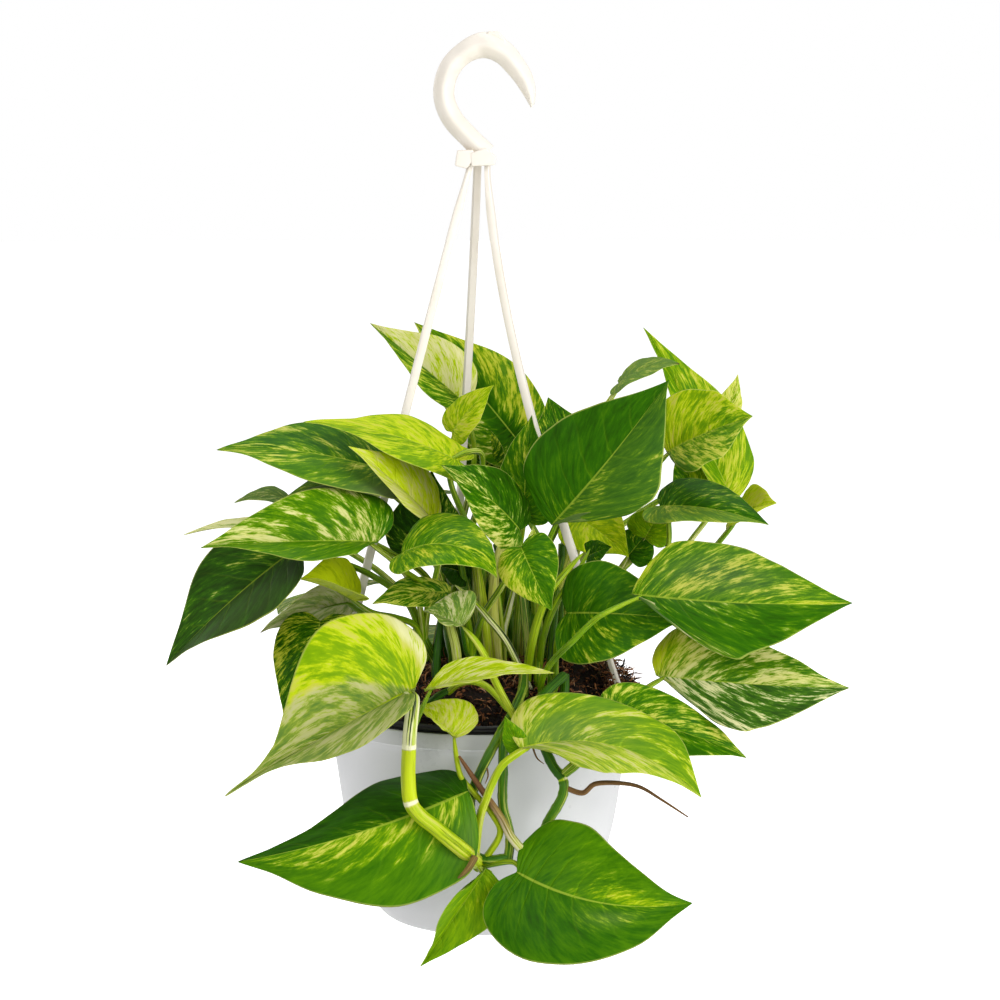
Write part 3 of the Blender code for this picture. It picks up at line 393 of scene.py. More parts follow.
def makePlastic(name, light, shade, low, high, scale, **values):
    # low and high are the least and the most rough it gets
    made, tree, shader = newMaterial(name, **values)
    place = addNode(tree, "ShaderNodeTexCoord").outputs["Object"]
    grain = placeGroup(tree, mouldGroup, Place=place, Scale=scale, Low=low, High=high)
    clouds = between(tree, grain["Cloud"], 0.35, 0.7)
    tree.links.new(mixed(tree, clouds, light, shade), shader.inputs["Base Color"])
    tree.links.new(grain["Rough"], shader.inputs["Roughness"])
    bump(tree, shader, grain["Wave"], 0.0002, 0.5)
    return made


coirLook = {
    "fibres": ((0.0, (0.005, 0.003, 0.002)), (0.35, (0.035, 0.013, 0.005)), (0.65, (0.17, 0.060, 0.020)),
               (0.85, (0.36, 0.15, 0.055)), (1.0, (0.60, 0.46, 0.30))),
    "grain": 900.0,
    "depth": 0.0006,
}


def makeCoirMaterial():
    made, tree, shader = newMaterial("coirFibre", Specular_IOR_Level=0.25)
    tone = readAttribute(tree, "coirTone")["Fac"]
    place = addNode(tree, "ShaderNodeTexCoord").outputs["Object"]
    grain = speckle(tree, place, coirLook["grain"], 3.0, 0.7)
    value = plus(tree, tone, times(tree, less(tree, grain, 0.5), 0.5), clamp=True)
    tree.links.new(ramp(tree, value, coirLook["fibres"]), shader.inputs["Base Color"])
    tree.links.new(plus(tree, 0.55, times(tree, grain, 0.4)), shader.inputs["Roughness"])
    bump(tree, shader, grain, coirLook["depth"])
    return made


bladeMaterial, stalkMaterial, coirMaterial = makeBladeMaterial(), makeStalkMaterial(), makeCoirMaterial()
whitePlastic = makePlastic("whitePotPlastic", (0.68, 0.683, 0.69), (0.64, 0.643, 0.655), 0.24, 0.42, 30.0,
                           Specular_IOR_Level=0.45)
creamPlastic = makePlastic("creamHookPlastic", (0.80, 0.745, 0.665), (0.76, 0.70, 0.61), 0.34, 0.55, 90.0,
                           Specular_IOR_Level=0.4)
blackPlastic = makePlastic("blackGrowPlastic", (0.014, 0.014, 0.015), (0.022, 0.021, 0.02), 0.32, 0.6, 90.0)
print("materials made")


# meshes
def newSheet():
    return {"points": [], "faces": [], "kinds": [], "place": [], "look": [], "dry": []}


def addPoint(sheet, point, place, look, dry):
    sheet["points"].append(point)
    sheet["place"].append(place)
    sheet["look"].append(look)
    sheet["dry"].append(dry)
    return len(sheet["points"]) - 1


def addFace(sheet, corners, kind):
    sheet["faces"].append(corners)
    sheet["kinds"].append(kind)


def linkPiece(name, mesh, materials):
    obj = bpy.data.objects.new(name, mesh)
    bpy.context.scene.collection.objects.link(obj)
    for material in materials:
        mesh.materials.append(material)
    return obj


def setAttribute(mesh, name, kind, label, values):
    made = mesh.attributes.new(name, kind, "POINT")
    made.data.foreach_set(label, [item for value in values for item in value])


def finishSheet(name, sheet, materials):
    mesh = bpy.data.meshes.new(name)
    mesh.from_pydata(sheet["points"], [], sheet["faces"])
    mesh.polygons.foreach_set("material_index", sheet["kinds"])
    setAttribute(mesh, "leafPlace", "FLOAT_COLOR", "color", sheet["place"])
    setAttribute(mesh, "leafLook", "FLOAT_COLOR", "color", sheet["look"])
    setAttribute(mesh, "leafDry", "FLOAT", "value", [(value,) for value in sheet["dry"]])
    shape = bmesh.new()
    shape.from_mesh(mesh)
    bmesh.ops.remove_doubles(shape, verts=shape.verts, dist=2e-6)
    bmesh.ops.dissolve_degenerate(shape, edges=shape.edges, dist=1e-7)
    shape.to_mesh(mesh)
    shape.free()
    mesh.shade_smooth()
    return linkPiece(name, mesh, materials)


def frames(points):
    # a side and an up direction at each point, carried along the line without twist
    up = Vector((0.0, -0.3, 1.0))
    made = []
    for i in range(len(points)):
        ahead = (points[min(i + 1, len(points) - 1)] - points[max(i - 1, 0)]).normalized()
        if abs(up.dot(ahead)) > 0.98 * up.length:
            up = Vector((1.0, 0.0, 0.0))
        up = (up - ahead * up.dot(ahead)).normalized()
        made.append((ahead.cross(up), up))
    return made


def ringFaces(rings, addOne):
    # the skin of a tube over its rings of corners, and a face at either end
    for low, high in zip(rings, rings[1:]):
        for j in range(len(low)):
            k = (j + 1) % len(low)
            addOne((low[j], low[k], high[k], high[j]))
    addOne(tuple(reversed(rings[0])))
    addOne(tuple(rings[-1]))


def pick(values, i, count):
    # a list is spread along the line, anything else holds for all of it
    return values[min(int(len(values) * i / count), len(values) - 1)] if isinstance(values, list) else values


def addTube(sheet, points, radii, look, seed, sides=12, groove=0.0, dry=0.0):
    rings, run = [], 0.0
    for i, ((side, up), point, radius) in enumerate(zip(frames(points), points, radii)):
        run += (point - points[i - 1]).length if i else 0.0
        tone, shade = pick(look, i, len(points)), pick(dry, i, len(points))
        ring = []
        for j in range(sides):
            angle = 2 * math.pi * j / sides
            dent = 1.0 - groove * math.exp(-((1.0 - math.cos(angle)) / 0.25) ** 2)
            way = up * math.cos(angle) * dent + side * math.sin(angle)
            place = (abs(j / sides * 2 - 1), run / 0.02, seed, 0.0)
            ring.append(addPoint(sheet, point + way * radius, place, tone, shade))
        rings.append(ring)
    ringFaces(rings, lambda corners: addFace(sheet, corners, 1))


def finishShape(name, shape, material, crease):
    # the bmesh becomes an object, sharp where its faces meet at more than crease degrees
    bmesh.ops.recalc_face_normals(shape, faces=shape.faces)
    mesh = bpy.data.meshes.new(name)
    shape.to_mesh(mesh)
    shape.free()
    mesh.shade_smooth()
    mesh.set_sharp_from_angle(angle=math.radians(crease))
    return linkPiece(name, mesh, [material])


def lathe(name, profile, segments, material):
    # a closed body turned round the pot's axis, from a closed loop of (radius, height over the rim)
    shape = bmesh.new()
    turns = [2 * math.pi * i / segments for i in range(segments)]
    rings = []
    for radius, height in profile:
        if radius < 0.01:
            rings.append([shape.verts.new(fromRim(0.0, 0.0, height))] * segments)
        else:
            rings.append([shape.verts.new(fromAxis(radius, angle, height)) for angle in turns])
    pairs = list(zip(rings, rings[1:]))
    if profile[0][0] > 0.01:
        pairs.append((rings[-1], rings[0]))
    for high, low in pairs:
        for i in range(segments):
            j = (i + 1) % segments
            corners = list(dict.fromkeys((high[i], low[i], low[j], high[j])))
            if len(corners) > 2:
                shape.faces.new(corners)
    return finishShape(name, shape, material, 38)


def roundEdges(shape, edges, size):
    bmesh.ops.bevel(shape, geom=edges, offset=size * mm, segments=3, profile=0.6, affect="EDGES")


def softPlate(shape, outline, half, bevel):
    # a flat plate with rounded edges, from a clockwise outline of (right, up) in millimetres
    front = [shape.verts.new(Vector((x, -half, z)) * mm) for x, z in outline]
    back = [shape.verts.new(Vector((x, half, z)) * mm) for x, z in outline]
    faces = [shape.faces.new(front), shape.faces.new(tuple(reversed(back)))]
    for i in range(len(outline)):
        j = (i + 1) % len(outline)
        faces.append(shape.faces.new((front[j], front[i], back[i], back[j])))
    roundEdges(shape, list(dict.fromkeys(edge for face in faces for edge in face.edges)), bevel)


def softBox(shape, low, high, bevel):
    # a box with rounded edges, between two corners in millimetres
    made = bmesh.ops.create_cube(shape, size=1.0)["verts"]
    middle, size = (Vector(low) + Vector(high)) / 2 * mm, (Vector(high) - Vector(low)) * mm
    bmesh.ops.transform(shape, matrix=Matrix.Translation(middle) @ Matrix.Diagonal((*size, 1.0)), verts=made)
    roundEdges(shape, list(dict.fromkeys(edge for vertex in made for edge in vertex.link_edges)), bevel)


# the white pot
potSizes = {
    "wall": 1.6,
    "lip": 8.0,  # height of the straight band under the rim
    "bead": 0.45,  # how far the thin ridge under the band stands out
    "flank": (75.8, 72.6, 68.6, 62.6),  # radius at even steps down the flank
    "flankEnds": (-8.0, -86.0),  # heights over the rim where those begin and end
    "turnIn": ((62.9, -84.0), (60.8, -91.0), (57.4, -97.4), (50.6, -106.2)),  # radius and height
    "foot": 42.0,
    "segments": 144,
}


def potRadius(height):
    top, bottom = potSizes["flankEnds"]
    return smooth(potSizes["flank"], (top - height) / (top - bottom))


def makePot():
    wall, lip, bead, foot = [potSizes[name] for name in ("wall", "lip", "bead", "foot")]
    under = potRadius(-lip)
    band = [(rimRadius - 1.2, 0.0), (rimRadius - 0.3, -0.2), (rimRadius, -0.9),
            (rimRadius - 0.25, -lip + 1.6), (rimRadius - 0.1, -lip + 0.8), (rimRadius - 0.6, -lip + 0.1),
            (under + bead, -lip - 0.4), (under + bead * 0.8, -lip - 1.2), (under - 0.1, -lip - 1.9)]
    flank = [(potRadius(height), height) for height in [-12.0 - 4.0 * i for i in range(19)]]
    turnIn = curvePoints([Vector(point) for point in (*potSizes["turnIn"], (foot + 1.0, -109.6))], 20)
    base = [(foot, -potHeight), (38.5, -potHeight), (38.0, -potHeight + 0.8), (0.0, -potHeight + 0.8)]
    inner = [(0.0, -107.4), (40.5, -107.4), (50.0, -103.4), (56.0, -95.8)]
    for height in (-84.0, -70.0, -58.0, -46.0, -34.0, -20.0, -9.0):
        inner.append((potRadius(height) - wall, height))
    inner += [(rimRadius - wall, -6.0), (rimRadius - wall, -1.0), (rimRadius - wall + 0.4, 0.0)]
    profile = band + flank + [tuple(point) for point in turnIn[1:]] + base + inner
    piece = lathe("whitePot", profile, potSizes["segments"], whitePlastic)
    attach(piece, "root")
    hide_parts("pot")


makePot()
print("pot made")


# the black grow pot
growPotSizes = {
    "wall": 1.0,
    "rise": 3.4,  # how far its rim stands over that of the white pot
    "slope": 0.19,  # how fast its wall draws in
    "ribs": 4,
    "ribPitch": 1.6,
    "ribDepth": 0.35,
    "segments": 120,
}


def growWall(height):
    return growRadius + height * growPotSizes["slope"]


def makeGrowPot():
    wall, rise, floor = growPotSizes["wall"], growPotSizes["rise"], -potHeight + 2.9
    side = growWall(0.0)
    profile = [(growRadius - 0.5, rise), (growRadius + 0.5, rise - 0.5), (growRadius + 0.6, rise - 1.2),
               (growRadius, rise - 1.7)]
    for i in range(growPotSizes["ribs"]):
        top = rise - 2.3 - growPotSizes["ribPitch"] * i
        profile += [(side, top), (side + growPotSizes["ribDepth"], top - 0.5), (side, top - 1.0)]
    profile += [(growWall(-40.0), -40.0), (growWall(-80.0), -80.0), (48.5, -94.0), (38.0, floor),
                (0.0, floor), (0.0, floor + wall), (37.5, floor + wall), (47.2, -93.2)]
    profile += [(growWall(height) - wall, height) for height in (-80.0, -40.0, -6.0)]
    profile.append((growRadius - wall - 0.3, rise - 0.5))
    piece = lathe("growPot", profile, growPotSizes["segments"], blackPlastic)
    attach(piece, "root")
    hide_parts("grow_pot")


makeGrowPot()
print("grow pot made")


# the coir that fills it
soilLook = {
    "fibres": 2600,
    "tufts": 620,  # loose fibres that lie on the rim by the right-hand clip
    "flakes": 1300,
    "flecks": 60,  # pale flakes
    "rough": 2.2,
    "heaps": ((50.0, 6.0, 19.0, 11.0), (66.0, 0.0, 9.0, 15.0)),  # right, back, reach and height, by the clip
    "rings": 56,
    "around": 150,
    "seed": 11,
}


def soilHeight(x, y):
    inside = math.hypot(x, y) / (growRadius - 2.4)
    mound = soilEdge + (soilCrown - soilEdge) * max(0.0, 1.0 - inside ** 4.5)
    crumb = noise.noise(Vector((x * 0.11, y * 0.11, 3.1)))
    for right, back, reach, rise in soilLook["heaps"]:
        heap = rise * math.exp(-((x - right) ** 2 + (y - back) ** 2) / reach ** 2)
        mound += heap * max(0.0, 1.0 - inside ** 24)
    return mound + soilLook["rough"] * crumb * max(0.0, 1.0 - inside ** 6)


def makeSoil():
    draw = random.Random(soilLook["seed"])
    points, faces, tones = [], [], []
    edge = growWall(soilEdge) - growPotSizes["wall"] - 0.3
    rings, around = soilLook["rings"], soilLook["around"]
    points.append(fromRim(0.0, 0.0, soilHeight(0.0, 0.0)))
    tones.append(0.1)
    for i in range(1, rings + 1):
        for j in range(around):
            radius, angle = edge * i / rings, 2 * math.pi * (j + 0.5 * (i % 2)) / around
            x, y = radius * math.cos(angle), radius * math.sin(angle)
            lump = noise.turbulence(Vector((x * 0.32, y * 0.32, 7.0)), 3, False)
            held = 1.0 if i < rings - 1 else 0.0
            points.append(fromRim(x, y, soilHeight(x, y) + (1.7 * lump - 0.9) * held))
            tones.append(0.04 + 0.3 * ease(0.35, 0.95, lump))
    side = [(growWall(-40.0) - 1.3, -40.0), (growWall(-80.0) - 1.3, -80.0), (46.6, -92.6), (37.0, -105.8)]
    for radius, height in side:
        for j in range(around):
            points.append(fromAxis(radius, 2 * math.pi * j / around, height))
            tones.append(0.1)
    for j in range(around):
        faces.append((0, 1 + j, 1 + (j + 1) % around))
    for i in range(rings + len(side) - 1):
        for j in range(around):
            k = (j + 1) % around
            low, high = 1 + i * around, 1 + (i + 1) * around
            faces.append((low + j, high + j, high + k, low + k))
    faces.append(tuple(1 + (rings + len(side) - 1) * around + j for j in reversed(range(around))))

    def addBar(way, radius, tone):
        # a thin three-sided fibre along a few points
        start = len(points)
        for i, ((across, up), point) in enumerate(zip(frames(way), way)):
            size = radius * (0.35 if i in (0, len(way) - 1) else 1.0)
            for turn in (0.0, 2.1, 4.2):
                points.append(point + (across * math.cos(turn) + up * math.sin(turn)) * size * mm)
                tones.append(tone)
        for i in range(len(way) - 1):
            for j in range(3):
                a, b = start + 3 * i + j, start + 3 * i + (j + 1) % 3
                faces.append((a, b, b + 3, a + 3))
        faces.append((start + 2, start + 1, start))
        end = start + 3 * (len(way) - 1)
        faces.append((end, end + 1, end + 2))

    def spot(reach):
        radius, angle = reach * math.sqrt(draw.random()), draw.uniform(0.0, 2 * math.pi)
        x, y = radius * math.cos(angle), radius * math.sin(angle)
        return x, y, soilHeight(x, y)

    for count in range(soilLook["fibres"] + soilLook["tufts"]):
        x, y, z = spot(edge - 1.5)
        if count >= soilLook["fibres"]:
            x, y = draw.uniform(58.0, 78.0), draw.gauss(-2.0, 8.0)
            z = draw.uniform(-1.0, 22.0 - 9.0 * ease(64.0, 80.0, x))
        heading, lift = draw.uniform(0.0, 2 * math.pi), draw.uniform(-0.1, 1.1)
        length, curl = draw.uniform(3.0, 9.0), draw.uniform(-1.3, 1.3)
        way, place = [], Vector((x, y, z - 0.6))
        for step in range(5):
            way.append(fromRim(*place))
            level = math.cos(lift)
            ahead = Vector((math.cos(heading) * level, math.sin(heading) * level, math.sin(lift)))
            place = place + ahead * length / 4
            heading += curl / 2
            lift += draw.uniform(-0.8, 0.35)
        addBar(way, draw.uniform(0.16, 0.55), draw.choice((0.1, 0.3, 0.5, 0.68, 0.78, 0.88)))
    for count in range(soilLook["flakes"] + soilLook["flecks"]):
        x, y, z = spot(edge - 2.0)
        if count % 5 == 0:
            x, y = draw.uniform(60.0, 76.0), draw.gauss(-2.0, 7.0)
            z = draw.uniform(0.0, 20.0 - 8.0 * ease(64.0, 80.0, x))
        pale = count >= soilLook["flakes"]
        size = draw.uniform(0.5, 0.9) if pale else draw.uniform(0.7, 2.0)
        shape = bmesh.new()
        bmesh.ops.create_icosphere(shape, subdivisions=1, radius=1.0)
        turn = Matrix.Rotation(draw.uniform(0, 6.28), 3, "Z")
        turn = turn @ Matrix.Rotation(draw.uniform(-0.9, 0.9), 3, "X")
        squash = Vector((draw.uniform(0.7, 1.6), draw.uniform(0.4, 0.9), draw.uniform(0.25, 0.6)))
        start = len(points)
        tone = 0.97 if pale else draw.choice((0.08, 0.2, 0.35, 0.5, 0.62, 0.7))
        for vertex in shape.verts:
            bent = Vector([a * b for a, b in zip(vertex.co * draw.uniform(0.8, 1.15), squash)]) * size
            points.append(fromRim(x, y, z + 0.4) + turn @ bent * mm)
            tones.append(tone)
        faces.extend(tuple(start + vertex.index for vertex in face.verts) for face in shape.faces)
        shape.free()
    mesh = bpy.data.meshes.new("coirBed")
    mesh.from_pydata(points, [], faces)
    setAttribute(mesh, "coirTone", "FLOAT", "value", [(tone,) for tone in tones])
    piece = linkPiece("coirBed", mesh, [coirMaterial])
    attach(piece, "root")
    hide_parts("soil")


makeSoil()
print("coir made")


# the hook and its arms
hookSizes = {
    "path": (  # millimetres right of the seat and over it, and the bar's radius there
        (3.5, -47.0, 4.8), (-4.5, -39.5, 4.8), (-13.6, -29.4, 4.9), (-17.6, -18.0, 4.8), (-15.0, -6.0, 4.9),
        (-7.4, 2.4, 5.0), (2.6, 6.2, 5.9), (11.6, 2.6, 5.4), (18.2, -4.6, 4.8), (22.2, -10.6, 4.2),
        (24.6, -16.6, 3.1), (25.7, -21.4, 1.7), (25.8, -24.2, 0.5),
    ),
    "plates": (  # the block, the side plate and the knuckle: outline as above, and half the thickness
        (((-11.0, -45.2), (-3.0, -44.9), (-1.8, -49.0), (-6.4, -54.4), (-12.2, -52.8)), 6.6),
        (((-4.5, -46.6), (3.5, -44.0), (8.6, -48.6), (7.6, -52.6), (-4.0, -53.2)), 6.9),
        (((-3.5, 7.4), (0.6, 9.0), (4.4, 12.9), (9.3, 12.9), (12.6, 9.6), (14.6, 4.0), (4.0, 4.5)), 2.2),
    ),
    "plateEdge": 0.8,
    "squareness": 0.15,  # how far the section stands out to a ridge in front, behind, above and below
    "dents": 0.06,  # share by which the bar is uneven
    "steps": 96,
    "sides": 28,
}


def makeHook():
    shape = bmesh.new()
    steps, sides = hookSizes["steps"], hookSizes["sides"]
    path = curvePoints([Vector(point) for point in hookSizes["path"]], steps)
    rings = []
    for i, place in enumerate(path):
        before, after = path[max(i - 1, 0)], path[min(i + 1, steps - 1)]
        ahead = Vector((after.x - before.x, 0.0, after.y - before.y)).normalized()
        across, up = Vector((0.0, 1.0, 0.0)), ahead.cross(Vector((0.0, 1.0, 0.0)))
        middle = Vector((place.x, 0.0, place.y)) * mm
        ring = []
        for j in range(sides):
            angle = 2 * math.pi * j / sides
            stretch = 0.94 + hookSizes["squareness"] * math.cos(2 * angle) ** 4
            stretch += hookSizes["dents"] * math.sin(place.x * 0.45 + place.y * 0.3) * math.cos(angle)
            way = across * math.cos(angle) + up * math.sin(angle)
            ring.append(shape.verts.new(middle + way * place.z * stretch * mm))
        rings.append(ring)
    ringFaces(rings, shape.faces.new)
    for outline, half in hookSizes["plates"]:
        softPlate(shape, outline, half, hookSizes["plateEdge"])
    piece = finishShape("mouldedHook", shape, creamPlastic, 50)
    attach(piece, "root")
    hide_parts("hook")


armSizes = {
    "angles": (-15.0, 103.0, 194.0),
    "bows": (11.0, 4.0, -1.0),  # how far each arm bends in towards the middle
    "start": 4.2,  # radius at the hub
    "width": 3.9,
    "thick": 2.4,
    "edge": 0.45,
    "swell": 0.62,  # how much thicker they are between their ends
    "clipWidth": 8.0,
    "clip": (  # its boxes over, outside and inside the rim: out from the rim, over it, and the rounding
        (-3.6, 1.6, 0.3, 2.5, 0.5),
        (0.4, 1.5, -5.0, 1.6, 0.35),
        (-3.5, -2.4, -4.0, 1.6, 0.35),
    ),
    "steps": 60,
}


def armPoint(share, bow):
    top, start = hubHeight - 1.0, armSizes["start"]
    radius = start + (rimRadius - 1.2 - start) * share - bow * math.sin(math.pi * share ** 0.8)
    return radius, top + (-rimDrop + 1.2 - top) * share


def makeArm(index, angle, bow):
    shape = bmesh.new()
    steps, soft = armSizes["steps"], armSizes["edge"]
    half, thick = armSizes["width"] / 2, armSizes["thick"] / 2
    outline = [(half - soft, thick), (half, thick - soft), (half, soft - thick), (half - soft, -thick)]
    outline += [(-x, z) for x, z in reversed(outline)]
    rings = []
    for i in range(steps + 1):
        share = i / steps
        low, high = armPoint(max(share - 0.01, 0.0), bow), armPoint(min(share + 0.01, 1.0), bow)
        lean = math.atan2(high[0] - low[0], low[1] - high[1])
        radius, height = armPoint(share, bow)
        fuller = 1.0 + armSizes["swell"] * ease(0.02, 0.1, share) * (1.0 - ease(0.8, 0.96, share))
        out, rise = math.cos(lean) * fuller, math.sin(lean) * fuller
        ring = [Vector((radius + z * out, x, height + z * rise)) * mm for x, z in outline]
        rings.append([shape.verts.new(point) for point in ring])
    ringFaces(rings, shape.faces.new)
    wide = armSizes["clipWidth"] / 2
    for inner, outer, low, high, bevel in armSizes["clip"]:
        softBox(shape, (rimRadius + inner, -wide, low - rimDrop), (rimRadius + outer, wide, high - rimDrop),
                bevel)
    bmesh.ops.transform(shape, matrix=Matrix.Rotation(math.radians(angle), 4, "Z"), verts=shape.verts)
    piece = finishShape(f"hangerArm{index}", shape, creamPlastic, 35)
    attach(piece, "root")
    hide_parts(f"hanger_arm_{index}")


makeHook()
for armIndex, (armAngle, armBow) in enumerate(zip(armSizes["angles"], armSizes["bows"]), 1):
    makeArm(armIndex, armAngle, armBow)
print("hook and arms made")


# leaves and stems
bladeShape = {
    "edgeAlong": (0.0, -0.11, -0.12, -0.02, 0.20, 0.45, 0.69, 0.87, 1.0),  # the margin, from base to tip
    "edgeOut": (0.0, 0.30, 0.68, 0.92, 1.0, 0.86, 0.54, 0.20, 0.0),
    "edgeSlope": (0.0, 0.12, 0.18, 0.16, 0.12, 0.05, 0.0, 0.0, 0.0),  # moves forward where the lobe is small
    "basePinch": 0.45,
    "veinStart": (0.0, 0.0, 0.02, 0.05, 0.14, 0.30, 0.52, 0.76, 1.0),  # on the midrib
    "thick": 0.34,  # millimetres
    "rib": 0.75,  # how far the midrib stands out underneath
    "groove": 0.22,
    "waviness": 1.7,  # millimetres that the margins rise and fall
    "crinkle": 0.5,
    "raggedness": 0.045,  # share that the width varies along the margin
    "rows": 48,
    "columns": (0.0, 0.022, 0.06, 0.12, 0.2, 0.3, 0.4, 0.5, 0.6, 0.7, 0.8, 0.88, 0.94, 0.98, 1.0),
}


def makeBlade(base, tip, width, face, fold=(12, 12), curl=25, arch=0.06, sweep=0.0, wave=0.05, waves=2.0,
              lobe=(0.6, 0.6), taper=(0.0, 0.0)):
    # pairs are for the two halves: fold is how steeply each rises in degrees, lobe how far its base reaches
    # back, taper how much it narrows; curl bends the halves down, arch and sweep bend the midrib
    axis = (tip - base).normalized()
    face = Vector(face)
    face = (face - axis * face.dot(axis)).normalized()
    return {"base": base, "length": (tip - base).length, "axis": axis, "face": face, "side": axis.cross(face),
            "half": width * mm / 2, "fold": [math.radians(angle) for angle in fold],
            "curl": math.radians(curl), "arch": arch, "sweep": sweep, "wave": wave, "waves": waves,
            "lobe": lobe, "taper": taper}


def midribAt(blade, along):
    held = max(along, 0.0)
    bow = blade["face"] * blade["arch"] + blade["side"] * blade["sweep"]
    slope = blade["axis"] + bow * 4 * (1 - 2 * held)
    place = blade["base"] + (blade["axis"] * held + bow * 4 * held * (1 - held)) * blade["length"]
    return place + slope * blade["length"] * min(along, 0.0), slope.normalized()


def bladePoint(blade, u, v):
    # u runs along the margin from the base to the tip, v from the midrib out to -1 and 1
    share, hand = abs(v), 0 if v < 0 else 1
    start, lobe, half = smooth(bladeShape["veinStart"], u), blade["lobe"][hand], blade["half"]
    end = smooth(bladeShape["edgeAlong"], u) + smooth(bladeShape["edgeSlope"], u) * (1 - lobe)
    along = start + (end - start) * share ** 1.25
    narrowing = 1 + blade["taper"][hand] * min(u, 3 * (1 - u))
    out = max(smooth(bladeShape["edgeOut"], u), 0.0) ** narrowing * half * share
    out *= 1 + min(lobe, 0.0) * bladeShape["basePinch"] * max(0.0, 1 - u * 1.8)
    place, ahead = midribAt(blade, along)
    up = (blade["face"] - ahead * blade["face"].dot(ahead)).normalized()
    across = ahead.cross(up)
    rise, bend = blade["fold"][hand], blade["curl"] / half
    lift = (math.cos(rise - bend * out) - math.cos(rise)) / bend
    reach = (math.sin(rise) - math.sin(rise - bend * out)) / bend
    ripple = math.sin(2 * math.pi * blade["waves"] * u + (0.6 if hand else 2.4))
    lift += blade["wave"] * half * share ** 2 * ripple * math.sin(math.pi * min(1.0, u * 1.05))
    return place + across * (reach if hand else -reach) + up * lift


def look(ground=0.4, marks=0.3, pale=0.4, grey=0.0, dry=0.0, patches=(), turned=None):
    # a pair of values gives the two halves of the blade, hand 0 and hand 1; a patch is (along, across, reach,
    # what it adds); turned is a part of hand 1 that shows its underside, as (where its line meets the
    # margin, bend, values)
    # grey is how much painted sheen goes into the tone; the underside's own grey is added in the material
    pair = [value if isinstance(value, tuple) else (value, value) for value in (ground, marks, pale, grey)]
    return {"pairs": pair, "dry": dry, "patches": patches, "turned": turned}


def lookAt(item, u, v):
    hand = 0 if v < 0 else 1
    values = [pair[hand] if v else (pair[0] + pair[1]) / 2 for pair in item["pairs"]]
    if item["turned"] and v > 0:
        meets, bend, under = item["turned"]
        line = (u / meets) ** bend
        if v < line:
            return under
        if v < line + 0.035:
            return (0.95, 0.6, 0.2, 0.0)
    for atU, atV, reach, change in item["patches"]:
        weight = math.exp(-((u - atU) / reach) ** 2 - ((v - atV) / (2.2 * reach)) ** 2)
        values = [value + weight * more for value, more in zip(values, change)]
    return tuple(min(max(value, 0.0), 1.0) for value in values)


def addBlade(sheet, blade, item, seed):
    rows, shares, half = bladeShape["rows"], bladeShape["columns"], bladeShape["thick"] / 2
    across = [-share for share in reversed(shares[1:])] + list(shares)
    last = len(across) - 1

    def onBlade(u, v):
        ragged = 1.0 + bladeShape["raggedness"] * noise.noise(Vector((u * 7.0, (v > 0) * 5.0, seed)))
        return bladePoint(blade, u, v * ragged)

    grid = [[onBlade(i / rows, v) for v in across] for i in range(rows + 1)]
    top, low = [], []
    for i in range(rows + 1):
        topRow, lowRow = [], []
        u = i / rows
        calm = min(1.0, 5.0 * u, 5.0 * (1.0 - u))
        for j, v in enumerate(across):
            along = grid[min(i + 1, rows)][j] - grid[max(i - 1, 0)][j]
            out = grid[i][min(j + 1, last)] - grid[i][max(j - 1, 0)]
            normal = out.cross(along)
            normal = normal.normalized() if normal.length > 1e-12 else blade["face"]
            broad = noise.noise(Vector((u * 4.5, v * 1.4, seed))) * bladeShape["waviness"] * abs(v) ** 1.5
            small = noise.noise(Vector((u * 13.0, v * 3.0, seed))) * bladeShape["crinkle"] * abs(v)
            point = grid[i][j] + normal * (broad * calm + small * calm) * mm
            close = math.exp(-(abs(v) * blade["half"] / (1.1 * mm)) ** 2) * (1 - u * 0.8)
            edge = j in (0, last) or i in (0, rows)
            tone, dry = lookAt(item, u, v), item["dry"] * ease(0.93, 1.0, u)
            up = normal * (0.0 if edge else half - bladeShape["groove"] * close) * mm
            topRow.append(addPoint(sheet, point + up, (u, v, seed, 0.0), tone, dry))
            down = normal * (half + bladeShape["rib"] * close) * mm
            lowRow.append(topRow[-1] if edge else addPoint(sheet, point - down, (u, v, seed, 1.0), tone, dry))
        top.append(topRow)
        low.append(lowRow)
    for i in range(rows):
        for j in range(last):
            addFace(sheet, (top[i][j], top[i][j + 1], top[i + 1][j + 1], top[i + 1][j]), 0)
            addFace(sheet, (low[i][j], low[i + 1][j], low[i + 1][j + 1], low[i][j + 1]), 0)


def stalkWay(blade, root, via, lean, thick):
    # from the stem to just under the blade, by the given places or else in a bow that rises by lean
    base = midribAt(blade, 0.05)[0] - blade["face"] * (0.2 + 0.35 * thick) * mm
    if via:
        return curvePoints([root] + list(via) + [base], 2 * len(via) + 3)
    distance = (base - root).length
    away = root + Vector((0.0, 0.0, distance * lean))
    arrive = base - blade["axis"] * distance * 0.22 - Vector((0.0, 0.0, distance * 0.16))
    points = []
    for i in range(5):
        t = i / 4
        near = root * (1 - t) ** 3 + away * (3 * t * (1 - t) ** 2)
        far = arrive * (3 * t * t * (1 - t)) + base * t ** 3
        points.append(near + far)
    return points


def leaf(base, tip, width, face, root=1.0, lean=0.4, thick=1.6, hidden=False, via=(), tone=None,
         stripe=(0.62, 0.35, 0.7, 0.5), **form):
    # base and tip are places of the picture and a depth, or for a hidden leaf millimetres from the rim
    place = fromRim if hidden else seen
    return {"blade": makeBlade(place(*base), place(*tip), width, face, **form), "root": root, "lean": lean,
            "thick": thick, "via": [seen(*point) for point in via], "tone": tone or look(), "stripe": stripe}


